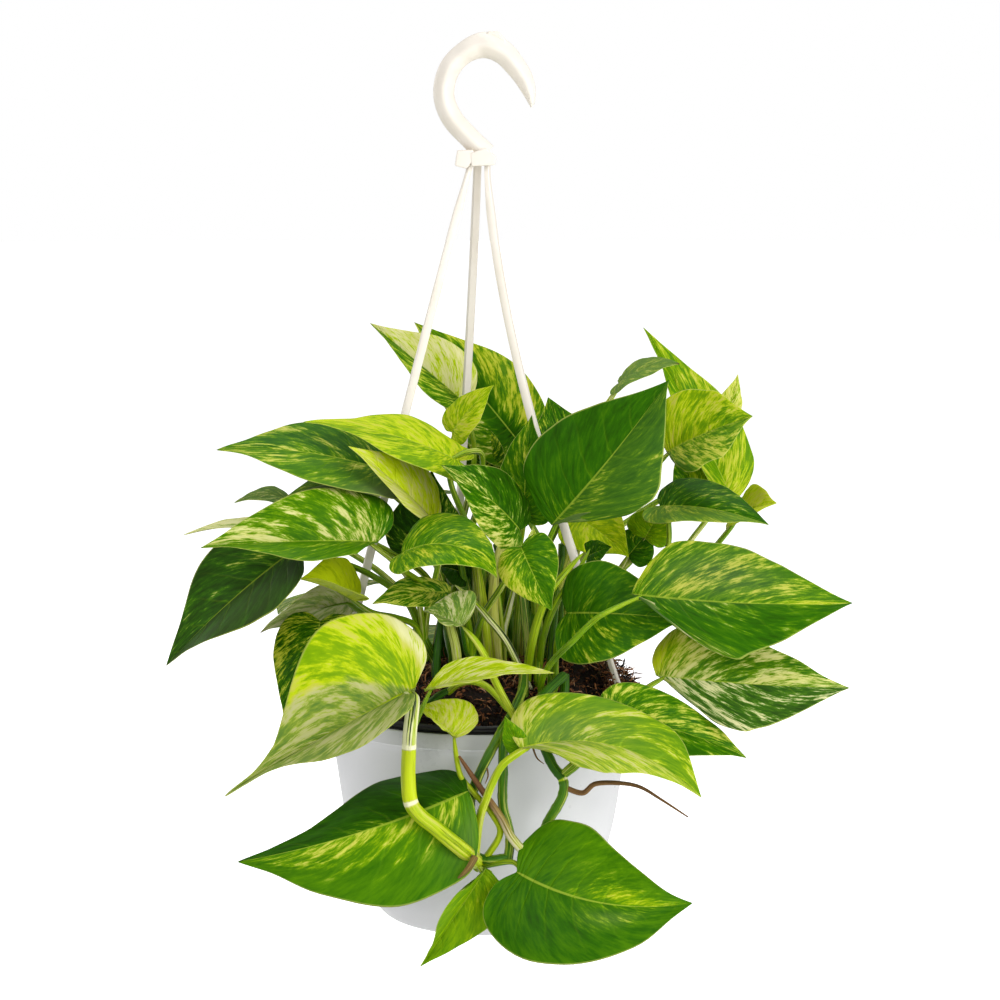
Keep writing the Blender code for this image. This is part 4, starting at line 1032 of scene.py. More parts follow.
stemShape = {
    "rise": 6.0,  # millimetres over the coir's crown where the bends begin
    "thick": 2.4,
    "stripe": (0.42, 0.35, 0.6, 0.8),  # ground, marks, pale and dark lines
    "nodeSwell": 0.10,
    "nodeWidth": 0.9,
    "nodeEvery": 9,
    "tailSteps": 8,  # in which a stalk runs out under the midrib
    "rootStripe": (0.3, 0.2, 0.5, 0.3),
}

crowdShape = {  # plain stalks that fan out between the others, from across a stem's crowdSpan
    "foot": 694.0,  # down the picture
    "rise": 150.0,
    "middle": 525.0,  # they lean away from here
    "depths": (-12.0, 44.0),
    "thick": (1.3, 2.1),
}


def seenCurve(points, each):
    return curvePoints([seen(*point) for point in points], each * len(points))


def knobbed(count, radius):
    # a little thicker at the nodes
    swell, every, width = [stemShape[name] for name in ("nodeSwell", "nodeEvery", "nodeWidth")]
    radii = []
    for i in range(count):
        near = math.exp(-(((i % every) - every / 2) / width) ** 2)
        radii.append(radius * mm * (1.0 + swell * near))
    return radii


def tapered(count, radius, fall, power):
    return [radius * mm * (1.0 - fall * (i / (count - 1)) ** power) for i in range(count)]


def addStalk(sheet, item, root, seed):
    blade, radius, steps = item["blade"], item["thick"] * mm, stemShape["tailSteps"]
    line = stalkWay(blade, root, item["via"], item["lean"], item["thick"])
    points = curvePoints(line, 7 * len(line))
    radii = []
    for i in range(len(points)):
        share = i / (len(points) - 1)
        radii.append(radius * (1.15 - 0.3 * share) * (1.0 - 0.38 * ease(0.86, 1.0, share)))
    for k in range(1, steps):
        points.append(midribAt(blade, 0.05 + 0.045 * k)[0] - blade["face"] * (0.55 + 0.07 * k) * mm)
        radii.append(radius * 0.5 * (1 - k / steps))
    addTube(sheet, points, radii, item["stripe"], seed, groove=0.22)


def addCrowd(sheet, count, span, seed):
    draw = random.Random(seed)
    foot, rise = crowdShape["foot"], crowdShape["rise"]
    for number in range(count):
        start, deep = draw.uniform(*span), draw.uniform(*crowdShape["depths"])
        lean = (start - crowdShape["middle"]) * 0.35 + draw.gauss(0.0, 14.0)
        shares = (0.0, 0.3, 0.6, 0.85, 1.0)
        points = [(start + lean * t * t, foot - rise * t, deep - 10.0 * t) for t in shares]
        turns = seenCurve(points, 6)
        size = [draw.uniform(*crowdShape["thick"]) * mm] * len(turns)
        pale = draw.random()
        stripe = (0.2 + 0.65 * pale, 0.25 + 0.4 * pale, 0.3 + 0.3 * pale, 1.0)
        addTube(sheet, turns, size, stripe, seed + 21.0 + number)


def addRoots(sheet, roots, seed):
    # thin brown roots and dry sheaths; a pair for dry runs from the first value to the second
    for number, (points, thickness, dry, *stripe) in enumerate(roots):
        turns = seenCurve(points, 8)
        if isinstance(dry, tuple):
            dry = [min(1.0, dry[0] + (dry[1] - dry[0]) * i / len(turns)) for i in range(len(turns))]
        bark = stripe[0] if stripe else stemShape["rootStripe"]
        size = tapered(len(turns), thickness, 0.75, 2)
        addTube(sheet, turns, size, bark, seed + 7.0 + number, sides=9, dry=dry)


def growStem(piece):
    sheet, seed, (x, y) = newSheet(), piece["seed"], piece["foot"]
    if "route" in piece:
        route = [seen(*point) for point in piece["route"]]
    else:
        route = [fromRim(*point) for point in piece["way"]]
    way = [fromRim(x, y, soilCrown + stemShape["rise"])] + route
    bends = curvePoints(way, 12 * len(way) if len(way) > 2 else 8)
    whole = [fromRim(x, y, -stemDepth), fromRim(x, y, 0.0)] + bends
    bark, thick = piece.get("stripe", stemShape["stripe"]), stemShape["thick"]
    addTube(sheet, whole, knobbed(len(whole), thick), bark, seed)
    for number, branch in enumerate(piece.get("branches", ())):
        turns = seenCurve(branch, 10)
        addTube(sheet, turns, knobbed(len(turns), thick * 0.98), bark, seed + 0.3 + number)
    for number, item in enumerate(piece["leaves"]):
        leafSeed = seed * 3.0 + number * 1.37
        root = smooth(way, item["root"]) - Vector((0.0, 0.0, 2.0 + 0.7 * number)) * mm
        addStalk(sheet, item, root, leafSeed)
        addBlade(sheet, item["blade"], item["tone"], leafSeed)
    for number, item in enumerate(piece.get("bare", ())):
        addBlade(sheet, item["blade"], item["tone"], seed + 9.0 + number * 2.3)
    for number, (points, thickness, stripe) in enumerate(piece.get("shoots", ())):
        turns = seenCurve(points, 8)
        size = tapered(len(turns), thickness, 0.9, 5)
        addTube(sheet, turns, size, stripe, seed + 5.0 + number * 1.7, groove=0.2)
    addCrowd(sheet, piece.get("crowd", 0), piece.get("crowdSpan"), seed)
    addRoots(sheet, piece.get("roots", ()), seed)
    made = finishSheet(piece["name"], sheet, [bladeMaterial, stalkMaterial])
    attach(made, "root")
    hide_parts(piece["node"])
    print(piece["name"], "made")


stemBackLeft = {
    "name": "stemBackLeft", "node": "stem_back_left", "seed": 1.0, "foot": (-14, 34), "way": [(-17, 40, 42)],
    "leaves": [
        leaf((466, 404, 44), (370, 323, 50), 40, (-0.1, -0.9, 0.3), fold=(70, 14), lobe=(0, 0),
             tone=look((0.3, 0.85), (0.35, 0.85), (0.2, 0.8))),
        leaf((517, 440, 62), (414, 322, 62), 52, (0.1, -0.9, 0.3), fold=(35, 14), arch=0.06,
             tone=look((0.36, 0.36), (0.56, 0.5), (0.5, 0.05),
                       patches=((0.15, -0.1, 0.14, (-0.25, -0.8, 0, 0)),
                                (0.42, -0.1, 0.14, (-0.25, -0.8, 0, 0)),
                                (0.7, -0.1, 0.14, (-0.25, -0.8, 0, 0))))),
        leaf((482, 470, 48), (478, 415, 54), 24, (0.1, -0.9, 0.4), tone=look(0.15, 0.45, 0.05)),
        leaf((-30, 62, 100), (-96, 118, 74), 54, (-0.3, 0.4, 0.85), hidden=True, tone=look(0.3, 0.45)),
    ],
}
growStem(stemBackLeft)

stemLeftUpper = {
    "name": "stemLeftUpper", "node": "stem_left_upper", "seed": 2.0, "foot": (-14, 6), "way": [(-18, 4, 45)],
    "leaves": [
        leaf((459, 461, -36), (303, 422, -48), 47, (0.02, -0.24, 0.97), fold=(0, 20), lobe=(0.8, 0.8),
             taper=(0.8, 0.8), via=[(474, 520, -8), (481, 454, -24)],
             tone=look((0.66, 0.8), (0.34, 0.42), (0.1, 0.1))),
        leaf((391, 473, -31), (216, 450, -48), 58, (0.0, -0.4, 0.93), fold=(8, 16),
             tone=look((0.4, 0.28), (0.3, 0.26), 0.35,
                       patches=((0.22, -0.5, 0.15, (0.25, -0.3, 0, 0)),
                                # the second patch is a painted sheen
                                (0.3, -0.95, 0.2, (0, -0.5, 0, 0.9))))),
        leaf((385, 484, -20), (286, 497, -36), 32, (0.0, -0.25, 0.95), arch=0.08,
             tone=look((0.3, 0.5), (0.1, 0.2), 0.5, (0.7, 0.1))),
        leaf((300, 508, 2), (234, 503, -20), 18, (0.0, -0.5, 0.85), arch=0.16,
             tone=look(0.35, 0.4, 0.6, 0.4)),
    ],
}
growStem(stemLeftUpper)

stemLeftMiddle = {
    "name": "stemLeftMiddle", "node": "stem_left_middle", "seed": 3.0, "foot": (-22, -14),
    "way": [(-28, -18, 36)],
    "leaves": [
        leaf((437, 525, -35), (348, 446, -58), 38, (0.2, -0.8, 0.5), fold=(55, 10), lobe=(-0.5, -0.3),
             tone=look((1.0, 1.0), (0.8, 0.6), (0.6, 0.5))),
        leaf((378, 542, -62), (200, 548, -84), 54, (0.0, -0.72, 0.7), fold=(45, 30), lobe=(-0.5, 0.8),
             arch=0.03, tone=look((0.4, 0.4), (0.1, 0.5), (0.4, 0.62),
                       patches=((0.12, 0.8, 0.2, (-0.15, -0.55, 0, 0)),))),
        leaf((300, 546, -44), (166, 666, -66), 62, (-0.3, -0.85, 0.4), fold=(42, 6), lobe=(-0.3, 0.0),
             tone=look((0.05, 0.08), (0.0, 0.12), 0.4, (0.14, 0.05),
                       patches=((0.42, 0.3, 0.16, (0.15, 0.3, -0.2, 0)),
                                # this patch is a painted sheen
                                (0.2, 0.5, 0.16, (0.05, 0, 0, 0.55))))),
        leaf((320, 530, 0), (183, 535, -16), 34, (0.0, -0.05, 1.0), tone=look(0.5, 0.8, 0.9)),
        leaf((356, 601, -50), (300, 579, -66), 46, (0.3, -0.65, 0.7), fold=(65, 10), lobe=(-0.5, 0.8),
             tone=look((1.0, 1.0), 0.1, 0.2)),
        leaf((352, 601, -30), (260, 633, -40), 44, (0.0, 0.55, 0.8), fold=(15, 15), via=[(376, 622, -24)],
             root=0.6, tone=look(0.6, 0.7, 0.9, 0.3, dry=0.8)),
    ],
}
growStem(stemLeftMiddle)

stemCentre = {
    "name": "stemCentre", "node": "stem_centre", "seed": 4.0, "foot": (-2, -22), "way": [(-4, -24, 30)],
    "crowd": 13, "crowdSpan": (440, 520),
    "leaves": [
        leaf((402, 553, -84), (497, 578, -97), 61, (0.1, 0.1, 1.0), fold=(40, -10), arch=0.2, lobe=(0.0, 0.6),
             tone=look((0.36, 0.42), (0.3, 0.32), 0.05)),
        leaf((520, 530, -38), (441, 465, -64), 40, (0.1, -0.75, 0.65),
             tone=look((0.2, 0.14), (0.24, 0.06), 0.5,
                       patches=((0.9, 0.3, 0.2, (0.1, 0.6, 0, 0)), (0.5, -0.9, 0.3, (0.1, 0.35, 0, 0))))),
        leaf((463, 626, -88), (424, 611, -84), 36, (-0.2, -0.8, 0.5), fold=(78, 5), lobe=(-0.5, 0.8),
             via=[(466, 652, -66)], thick=1.0, stripe=(0.1, 0.1, 0.3, 0.8), tone=look(0.5, 0.5, 0.9, 0.35)),
        leaf((450, 592, -56), (372, 604, -76), 30, (0.0, -0.45, 0.9), tone=look(0.3, 0.55, 0.25)),
    ],
    "bare": [  # leaves between the stems; their deepest green is painted shade of the crown
        leaf((464, 573, -6), (434, 566, -10), 21, (0.0, -0.7, 0.7), tone=look(0.0, 0.0)),
        leaf((424, 553, -22), (432, 470, -28), 40, (0.0, -0.9, 0.4),
             tone=look((0.06, 0.12), (0.2, 0.3), 0.3)),
        leaf((474, 694, 46), (478, 530, 50), 46, (0.0, -1.0, 0.1), tone=look(0.02, 0.05)),
        leaf((504, 694, 48), (508, 520, 52), 46, (0.0, -1.0, 0.1), tone=look(0.05, 0.05)),
        leaf((534, 694, 46), (542, 550, 50), 42, (0.0, -1.0, 0.1), tone=look(0.02, 0.05)),
    ],
    "shoots": [  # sheaths and stalks that fill the crown
        ([(514, 716, -84), (503, 696, -86), (493, 676, -90), (486, 658, -94), (478, 644, -96),
          (470, 634, -96), (462, 626, -90)], 1.9, (0.82, 0.35, 0.5, 0.2)),
        ([(500, 690, -14), (496, 640, -16), (493, 600, -18), (497, 560, -16), (505, 532, -10)], 2.6,
         (0.95, 0.6, 0.55, 0.2)),
        ([(492, 686, -20), (487, 640, -22), (483, 600, -20), (478, 560, -14)], 2.2, (0.85, 0.5, 0.5, 0.5)),
        ([(460, 690, -30), (456, 650, -30), (451, 627, -26), (447, 600, -20), (440, 575, -12)], 2.4,
         (0.85, 0.6, 0.7, 0.3)),
        ([(436, 690, -24), (437, 655, -22), (440, 627, -18), (446, 590, -12)], 2.0, (0.2, 0.2, 0.5, 0.8)),
        ([(530, 690, -34), (508, 644, -36), (488, 618, -36), (471, 599, -34), (455, 585, -30)], 1.9,
         (0.7, 0.6, 0.8, 1.0)),
        ([(506, 690, -10), (503, 640, -12), (509, 610, -12), (514, 590, -10), (520, 560, -4)], 1.8,
         (0.7, 0.6, 0.9, 0.8)),
        ([(474, 690, -6), (470, 650, -6), (464, 610, -4), (455, 570, 0)], 2.0, (0.45, 0.4, 0.6, 0.7)),
        ([(484, 692, 10), (480, 640, 12), (476, 590, 14), (474, 550, 16)], 2.2, (0.6, 0.5, 0.8, 0.4)),
        ([(448, 692, -58), (458, 684, -62), (472, 681, -66), (486, 686, -70), (497, 697, -74),
          (507, 712, -78)], 1.9,
         (0.75, 0.4, 0.6, 0.4)),
        ([(420, 712, -60), (438, 696, -60), (454, 688, -58)], 2.1, (0.15, 0.2, 0.5, 0.6)),
    ],
}
growStem(stemCentre)

stemCentreBack = {
    "name": "stemCentreBack", "node": "stem_centre_back", "seed": 5.0, "foot": (12, 14),
    "way": [(10, 12, 40)],
    "leaves": [
        leaf((525, 517, -22), (532, 415, -20), 32, (-0.4, -0.85, 0.2),
             tone=look((0.3, 0.25), (0.3, 0.16), 0.1)),
        leaf((575, 500, 12), (548, 397, 24), 54, (0.1, -0.7, 0.7), lobe=(0, 0), via=[(538, 565, 16)],
             tone=look(0.16, 0.3, 0.1)),
        leaf((452, 432, 8), (494, 385, 0), 22, (-0.5, -0.7, 0.3), tone=look(0.76, 0.4, 0.15)),
    ],
}
growStem(stemCentreBack)

stemRightBig = {
    "name": "stemRightBig", "node": "stem_right_big", "seed": 6.0, "foot": (26, -8), "way": [(28, -12, 50)],
    "crowd": 11, "crowdSpan": (500, 575),
    "leaves": [
        leaf((552, 525, -45), (669, 380, -62), 68, (0.0, -0.95, 0.3), fold=(4, 36), lobe=(0.0, -1.2),
             arch=0.03, taper=(-0.2, -0.5), sweep=0.02,
             tone=look((0.2, 0.3), (0.0, 0.12), 0.2, (0.0, 0.1),
                       patches=((0.35, 0.3, 0.2, (0.1, 0.25, 0, 0)),))),
        leaf((521, 547, -84), (552, 611, -94), 31, (-0.3, -0.9, 0.3),
             tone=look((0.3, 0.28), (0.1, 0.2), 0.15, patches=((0.55, 0.95, 0.3, (0.3, 0.6, 0.1, 0)),))),
    ],
    "bare": [
        leaf((536, 558, -66), (533, 526, -70), 9, (-0.3, -0.9, 0.3), tone=look(0.75, 0.6, 0.8)),
        leaf((588, 556, -22), (612, 547, -28), 15, (0.0, -0.8, 0.6), tone=look(0.15, 0.05, 0.1)),
    ],
    "shoots": [
        ([(528, 690, -28), (528, 651, -28), (525, 620, -26), (522, 590, -22), (520, 560, -16)], 2.0,
         (0.3, 0.4, 0.6, 0.9)),
        ([(538, 690, -30), (538, 664, -32), (539, 630, -30), (540, 600, -26), (543, 565, -18)], 2.2,
         (0.5, 0.4, 0.1, 0.6)),
        ([(526, 688, -30), (533, 640, -42), (546, 599, -46), (562, 577, -44), (583, 553, -36)], 2.4,
         (0.8, 0.3, 0.4, 0.5)),
        ([(538, 688, -26), (543, 640, -36), (556, 604, -40), (575, 577, -36), (590, 549, -28)], 2.1,
         (0.74, 0.3, 0.5, 0.6)),
        ([(514, 690, -4), (516, 640, -2), (519, 600, 0), (524, 560, 4)], 1.9, (0.55, 0.5, 0.6, 0.5)),
        ([(548, 688, -8), (552, 640, -6), (556, 600, -4), (563, 556, 2)], 2.0, (0.35, 0.3, 0.5, 0.8)),
    ],
}
growStem(stemRightBig)

stemRightTop = {
    "name": "stemRightTop", "node": "stem_right_top", "seed": 7.0, "foot": (38, 22), "way": [(42, 24, 45)],
    "leaves": [
        leaf((732, 500, 28), (643, 327, 36), 44, (0.2, -0.95, 0.2), fold=(62, 8), lobe=(0.0, 0.0),
             via=[(636, 600, 24), (693, 537, 26)],
             tone=look((0.48, 0.53), (0.25, 0.2), 0.1, patches=((0.12, 0.3, 0.34, (0.22, 0.4, 0.1, 0)),))),
        leaf((578, 518, 6), (629, 557, -10), 36, (0.2, -0.8, 0.5), tone=look(0.8, 0.3, 0.1)),
        leaf((667, 452, -14), (753, 416, -34), 57, (0.0, -0.85, 0.5), fold=(5, 44), lobe=(0.5, -0.9),
             taper=(-0.5, -1.1), tone=look((0.74, 0.42), (0.35, 0.38), (0.2, 0.25), (0.0, 0.05),
                       patches=((0.25, -0.5, 0.22, (0.12, 0.3, -0.1, 0)),
                                (0.9, -0.4, 0.2, (-0.2, -0.2, 0, 0))))),
        leaf((722, 425, 48), (738, 374, 46), 16, (0.3, -0.8, 0.4), tone=look(0.6, 0.7, 0.5)),
        leaf((619, 383, 20), (680, 364, 2), 28, (0.1, -0.5, 0.85), arch=0.1,
             tone=look(0.5, 0.2, 0.5, 0.4, dry=1.0)),
        leaf((12, 80, 110), (18, 146, 90), 50, (0.0, 0.45, 0.9), hidden=True, tone=look(0.3, 0.4)),
        leaf((50, 66, 104), (84, 120, 128), 50, (0.3, 0.5, 0.8), hidden=True, tone=look(0.4, 0.3, 0.2)),
    ],
    "bare": [leaf((698, 500, 24), (677, 448, 18), 25, (0.2, -0.9, 0.3),
                  tone=look((0.3, 0.6), (0.3, 0.3), 0.2))],
}
growStem(stemRightTop)

stemRightMiddle = {
    "name": "stemRightMiddle", "node": "stem_right_middle", "seed": 8.0, "foot": (46, 2),
    "way": [(52, 0, 40)],
    "leaves": [
        leaf((645, 538, 0), (662, 508, 8), 24, (0.0, -0.9, 0.3), tone=look(0.62, 0.05, 0.1)),
        leaf((628, 556, -2), (652, 528, 4), 22, (0.0, -0.9, 0.4), tone=look(0.2, 0.05, 0.1)),
        leaf((660, 506, -26), (769, 525, -48), 46, (0.0, -0.4, 0.92), fold=(20, 20),
             via=[(640, 600, -12), (668, 545, -20)], tone=look((0.2, 0.5), (0.18, 0.3), 0.35, (0.0, 0.2))),
        leaf((735, 518, 0), (777, 503, -24), 34, (0.2, -0.8, 0.5), fold=(5, 42), lobe=(0.5, -0.5),
             via=[(652, 610, 8), (712, 550, 2)], tone=look(0.9, 0.6, 0.15)),
    ],
}
growStem(stemRightMiddle)

stemRight = {
    "name": "stemRight", "node": "stem_right", "seed": 9.0, "foot": (36, -28), "way": [(38, -32, 18)],
    "leaves": [
        leaf((632, 594, -72), (853, 603, -84), 62, (0.05, -0.9, 0.45), fold=(10, 22), lobe=(-0.1, -1.2),
             sweep=0.04,
             via=[(546, 708, -46), (541, 684, -58), (552, 662, -70), (573, 641, -78), (600, 616, -80)],
             taper=(-0.3, -0.3), stripe=(0.6, 0.25, 0.3, 0.9),
             tone=look((0.37, 0.24), (0.32, 0.06), (0.2, 0.5),
                       patches=((0.1, 0.85, 0.11, (0.3, 0.9, 0.45, 0.15)),
                                (0.26, 0.95, 0.1, (0.3, 0.9, 0.45, 0.15)),
                                (0.42, 1.0, 0.1, (0.3, 0.8, 0.4, 0.15)),
                                (0.1, -0.8, 0.2, (0.3, 0.35, -0.1, 0)),
                                (0.62, -0.5, 0.2, (-0.1, 0.15, 0.1, 0.3)),
                                (0.95, 0.0, 0.12, (0.3, 0.6, -0.1, 0))))),
        leaf((567, 613, -48), (685, 620, -66), 53, (0.1, -0.9, 0.45),
             tone=look((0.26, 0.28), (0.02, 0.14), 0.05)),
    ],
}
growStem(stemRight)

stemLeftLow = {
    "name": "stemLeftLow", "node": "stem_left_low", "seed": 10.0, "foot": (-46, -22), "way": [(-56, -26, 28)],
    "leaves": [
        leaf((320, 621, -44), (284, 733, -60), 42, (-0.1, -0.9, 0.4), sweep=-0.06,
             tone=look(0.16, 0.48, 0.05)),
        leaf((-70, 40, 50), (-112, 108, 26), 52, (-0.4, 0.4, 0.8), hidden=True, tone=look(0.35, 0.5, 0.6)),
    ],
}
growStem(stemLeftLow)

vineFront = {
    "name": "vineFront", "node": "vine_front", "seed": 11.0, "foot": (22, -40),
    "stripe": (0.25, 0.25, 0.4, 0.6),
    "route": [(522, 692, -60), (511, 716, -80), (499, 736, -88), (477, 780, -94), (469, 815, -96),
              (475, 857, -98)],
    "branches": [[(511, 716, -80), (504, 745, -91), (503, 776, -93), (503, 806, -95), (510, 836, -97),
                  (508, 860, -99)],
                 [(475, 857, -98), (490, 860, -99), (508, 858, -99)]],
    "leaves": [
        leaf((415, 688, -100), (224, 797, -122), 92, (0.1, -0.35, 0.93), fold=(35, 60), sweep=-0.05,
             lobe=(-0.3, 1.0),
             thick=3.6, via=[(462, 849, -118), (434, 826, -119), (411, 802, -119), (409, 752, -118),
                             (411, 722, -118), (413, 700, -116)],
             taper=(1.3, 2.2),
             stripe=[(0.78, 0.35, 0.35, 0.3)] * 20 + [(0.9, 0.9, 0.9, 0.0)] + [(1.0, 0.1, 0.2, 0.0)] * 7
             + [(0.9, 0.9, 1.0, 0.0)] + [(0.70, 0.5, 0.85, 1.0)] * 19 + [(0.8, 0.3, 0.3, 0.0)] * 4,
             tone=look((0.6, 0.74), (0.5, 0.34), (0.75, 0.15), (0.5, 0.0),
                       turned=(0.68, 4.6, (0.62, 0.45, 0.7, 0.4)),
                       patches=((0.1, 0.9, 0.14, (0.2, 1.6, 1.0, 0)),
                                (0.26, 1.0, 0.13, (0.2, 1.6, 1.0, 0))))),
        leaf((425, 690, -97), (555, 673, -114), 22, (0.0, -0.5, 0.8), fold=(40, 40), lobe=(-0.5, -0.5),
             via=[(430, 820, -115), (413, 798, -116), (411, 740, -110)], tone=look(0.9, 0.5, 0.7, dry=0.2)),
        leaf((468, 791, -106), (237, 862, -112), 80, (-0.05, -0.9, 0.5), fold=(-8, -34), lobe=(0.0, 0.3),
             sweep=-0.05, taper=(0.0, 0.9), tone=look((0.36, 0.18), (0.0, 0.0), 0.25,
                       patches=((0.66, -0.15, 0.12, (0.1, 0.42, 0, 0)),
                                (0.84, -0.2, 0.14, (0.12, 0.5, 0.1, 0)),
                                (0.08, -0.6, 0.1, (0.15, 0.4, -0.2, 0)), (0.45, -0.1, 0.1, (0.1, 0.3, 0, 0)),
                                (0.3, -0.6, 0.14, (0.02, -0.1, 0, 0.2))))),
        leaf((520, 748, -108), (702, 798, -122), 54, (0.1, -0.75, 0.65), fold=(8, 40), sweep=-0.13,
             lobe=(0.3, -1.0),
             thick=2.2, via=[(479, 825, -101), (487, 798, -105), (503, 765, -108)], taper=(-0.8, 0.0),
             stripe=(0.85, 0.4, 0.6, 0.0), tone=look((0.6, 0.8), (0.12, 0.42), (0.45, 0.6), (0.05, 0.25),
                       patches=((0.15, -0.7, 0.26, (0.1, 0.9, 0.1, 0)),
                                (0.55, -0.2, 0.2, (-0.05, 0, 0.1, 0.3))))),
        leaf((486, 868, -102), (420, 967, -106), 34, (0.2, -0.9, 0.3), fold=(5, 72), lobe=(0.0, -0.8),
             tone=look(0.6, 0.02, 0.1)),
        leaf((517, 872, -110), (693, 903, -124), 70, (0.0, -0.9, 0.45), sweep=0.1, lobe=(0.6, 0.6),
             fold=(5, 6), via=[(512, 862, -104)], thick=1.3, stripe=(0.55, 0.2, 0.2, 0.5),
             tone=look((0.38, 0.32), (0.0, 0.0), 0.1,
                       patches=((0.82, -0.2, 0.12, (0.25, 0.4, 0, 0)), (0.5, 0.5, 0.3, (-0.08, 0, 0, 0)),
                                (0.75, 0.35, 0.07, (0.1, 0.3, 0.4, 0.2))))),
        leaf((456, 738, -90), (414, 706, -82), 38, (0.0, -0.8, 0.6), fold=(80, 5), lobe=(-0.5, 1.0),
             via=[(500, 833, -99), (480, 800, -98), (460, 775, -96)], tone=look(0.92, 0.6, 0.5),
             stripe=(0.9, 0.3, 0.2, 0.0)),
    ],
    "bare": [leaf((521, 751, -103), (505, 716, -103), 13, (-0.4, -0.85, 0.2), tone=look(0.5, 0.05, 0.1))],
    "roots": [
        ([(475, 857, -118), (470, 866, -121), (464, 873, -122), (458, 878, -122)], 1.7, 0.75),
        ([(533, 748, -92), (537, 758, -94), (544, 764, -95)], 0.5, 0.9),
        ([(487, 768, -95), (488, 776, -97), (485, 784, -98)], 0.45, 0.9),
        ([(532, 860, -101), (512, 838, -102), (500, 816, -102), (475, 780, -98), (459, 756, -96)], 2.3,
         (0.0, 1.6), (0.8, 0.6, 0.9, 0.5)),
        ([(553, 747, -96), (565, 752, -97), (580, 757, -98), (595, 759, -98), (612, 765, -98)], 0.8, 0.9),
    ],
}
growStem(vineFront)

vineFrontRight = {
    "name": "vineFrontRight", "node": "vine_front_right", "seed": 12.0, "foot": (42, -44),
    "stripe": [(0.2, 0.25, 0.4, 0.7)] * 55 + [(0.85, 0.5, 0.9, 0.0)] * 2 + [(0.34, 0.25, 0.4, 0.6)] * 41,
    "route": [(537, 704, -74), (540, 734, -88), (552, 764, -92), (563, 780, -94), (562, 797, -94),
              (549, 820, -92), (541, 838, -90)],
    "leaves": [
        leaf((656, 675, -62), (850, 688, -78), 54, (0.0, -0.75, 0.65), fold=(25, 8), lobe=(0.4, -1.2),
             sweep=0.05, taper=(0.0, -0.4), root=0.5, via=[(585, 752, -93), (630, 700, -78)],
             tone=look((0.3, 0.16), (0.42, 0.42), (0.6, 0.95), (0.03, 0.08),
                       patches=((0.14, -0.55, 0.26, (0.75, 0.45, -0.6, -0.1)),
                                (0.1, 0.6, 0.14, (0.5, 0.5, -0.5, 0)),
                                (0.5, 0.1, 0.12, (0.1, 0.35, 0.2, 0)),
                                (0.85, -0.3, 0.14, (0.1, 0.3, 0.1, 0))))),
        leaf((608, 716, -88), (747, 758, -80), 36, (0.0, -0.6, 0.8), fold=(35, 10), root=0.5,
             via=[(578, 764, -94), (596, 735, -92)], tone=look((0.32, 0.26), (0.4, 0.12), 0.3)),
    ],
    "roots": [
        ([(562, 786, -94), (582, 793, -96), (595, 784, -97), (618, 783, -98), (640, 787, -98),
          (662, 800, -98), (688, 817, -98)], 1.35, 0.9),
    ],
}
growStem(vineFrontRight)

vineBack = {
    "name": "vineBack", "node": "vine_back", "seed": 13.0, "foot": (6, 56),
    "way": [(6, 72, 14), (6, 88, 2), (2, 94, -40), (-4, 94, -70)],
    "leaves": [
        leaf((-12, 98, -30), (-52, 112, -86), 50, (-0.3, 0.9, 0.3), hidden=True, tone=look(0.3, 0.5, 0.6)),
        leaf((8, 98, -44), (40, 114, -98), 48, (0.3, 0.9, 0.3), hidden=True, tone=look(0.45, 0.4, 0.2)),
        leaf((-6, 96, 18), (-50, 142, -8), 50, (-0.2, 0.6, 0.75), hidden=True, tone=look(0.25, 0.35, 0.5)),
        leaf((20, 94, 22), (62, 146, 2), 52, (0.2, 0.6, 0.75), hidden=True, tone=look(0.35, 0.55, 0.7)),
        leaf((84, 50, 46), (140, 92, 40), 50, (0.3, 0.3, 0.9), hidden=True, root=0.3,
             tone=look(0.5, 0.4, 0.3)),
    ],
}
growStem(vineBack)


# the studio
studio = {
    "floor": -0.545,  # metres from the seat
    "floorReach": 14.0,
    "sky": 0.34,  # how bright the dome lights the plant; the eye sees it at 1
    "lamps": (  # where it stands, how wide, how bright
        ((-0.9, -1.5, 0.8), 1.0, 15.0),
        ((1.2, -1.4, 0.45), 1.0, 22.0),
        ((1.5, -0.6, -0.3), 0.6, 8.0),
        ((0.1, 0.5, 1.3), 1.0, 12.0),
        ((-1.2, 0.9, 0.2), 0.8, 6.0),
    ),
}


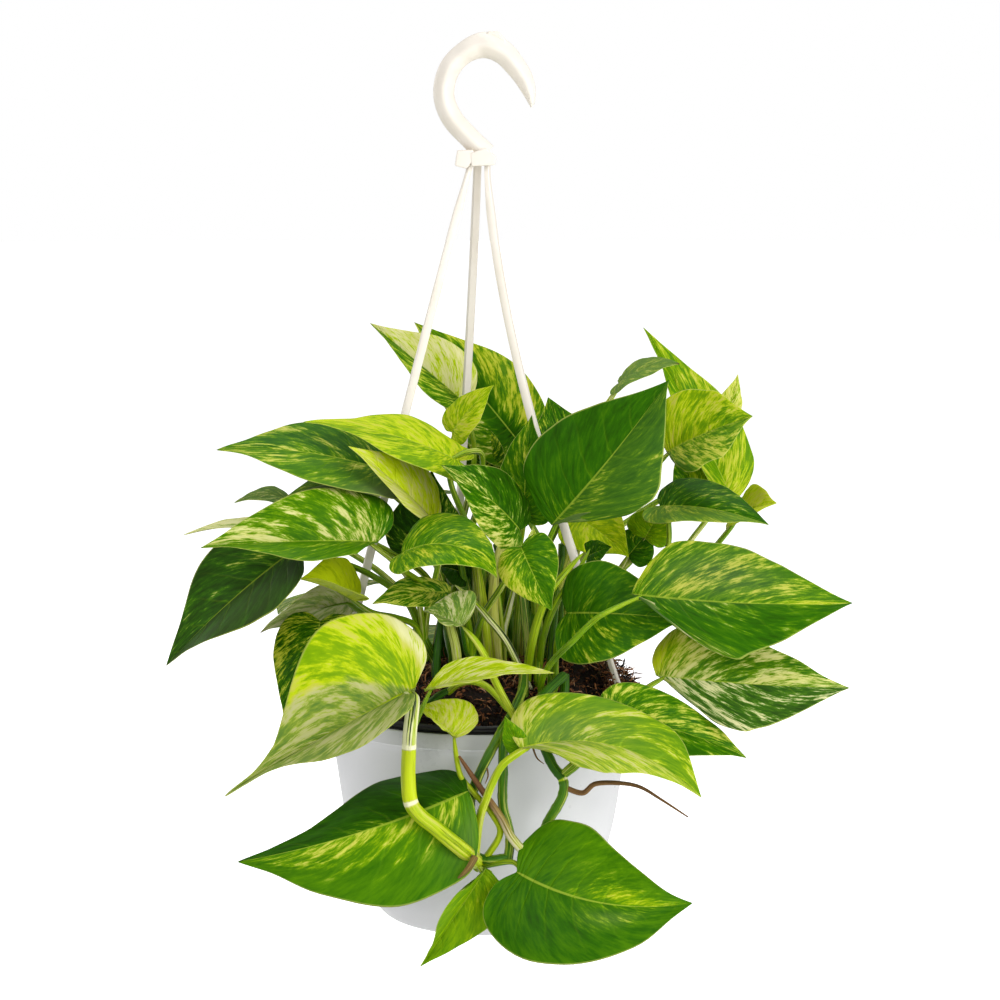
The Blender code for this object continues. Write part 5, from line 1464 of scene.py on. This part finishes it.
def makeStudio():
    shape = bmesh.new()
    bmesh.ops.create_circle(shape, cap_ends=True, segments=96, radius=studio["floorReach"])
    mesh = bpy.data.meshes.new("studioFloor")
    shape.to_mesh(mesh)
    shape.free()
    made, tree, shader = newMaterial("paleFloor", Roughness=0.8, Specular_IOR_Level=0.1)
    shader.inputs["Emission Color"].default_value = (1.0, 1.0, 1.0, 1.0)
    seenRay = addNode(tree, "ShaderNodeLightPath").outputs["Is Camera Ray"]
    tree.links.new(maths(tree, "MULTIPLY", seenRay, 0.85), shader.inputs["Emission Strength"])
    place = addNode(tree, "ShaderNodeTexCoord").outputs["Object"]
    cloud = speckle(tree, place, 3.0, 2.0)
    tree.links.new(mixed(tree, cloud, (0.90, 0.90, 0.90), (0.92, 0.92, 0.92)), shader.inputs["Base Color"])
    floor = linkPiece("studioFloor", mesh, [made])
    floor.location.z = studio["floor"]
    scene = bpy.context.scene
    scene.world = bpy.data.worlds.new("softDome")
    scene.world.use_nodes = True
    tree = scene.world.node_tree
    back = tree.nodes["Background"]
    back.inputs["Color"].default_value = (1.0, 1.0, 1.0, 1.0)
    ray = addNode(tree, "ShaderNodeLightPath").outputs["Is Camera Ray"]
    made = addNode(tree, "ShaderNodeMapRange", _0=ray, _3=studio["sky"], _4=1.0)
    tree.links.new(made.outputs[0], back.inputs["Strength"])
    for number, (place, size, power) in enumerate(studio["lamps"]):
        lamp = bpy.data.lights.new(f"softbox{number}", "AREA")
        lamp.size, lamp.energy = size, power
        holder = bpy.data.objects.new(f"softbox{number}", lamp)
        holder.location = place
        aim = Vector((0.0, 0.0, -0.28)) - Vector(place)
        holder.rotation_euler = aim.to_track_quat("-Z", "Y").to_euler()
        scene.collection.objects.link(holder)
    eye = bpy.data.cameras.new("photoView")
    eye.sensor_width = 36.0
    eye.lens = view["focal"] * eye.sensor_width / view["wide"]
    holder = bpy.data.objects.new("photoView", eye)
    holder.location = fromRim(view["side"], -view["distance"], view["rise"])
    holder.rotation_euler = (math.pi / 2 - view["tilt"], 0.0, 0.0)
    scene.collection.objects.link(holder)
    scene.camera = holder
    scene.view_settings.view_transform = "Standard"


makeStudio()
print("studio made")
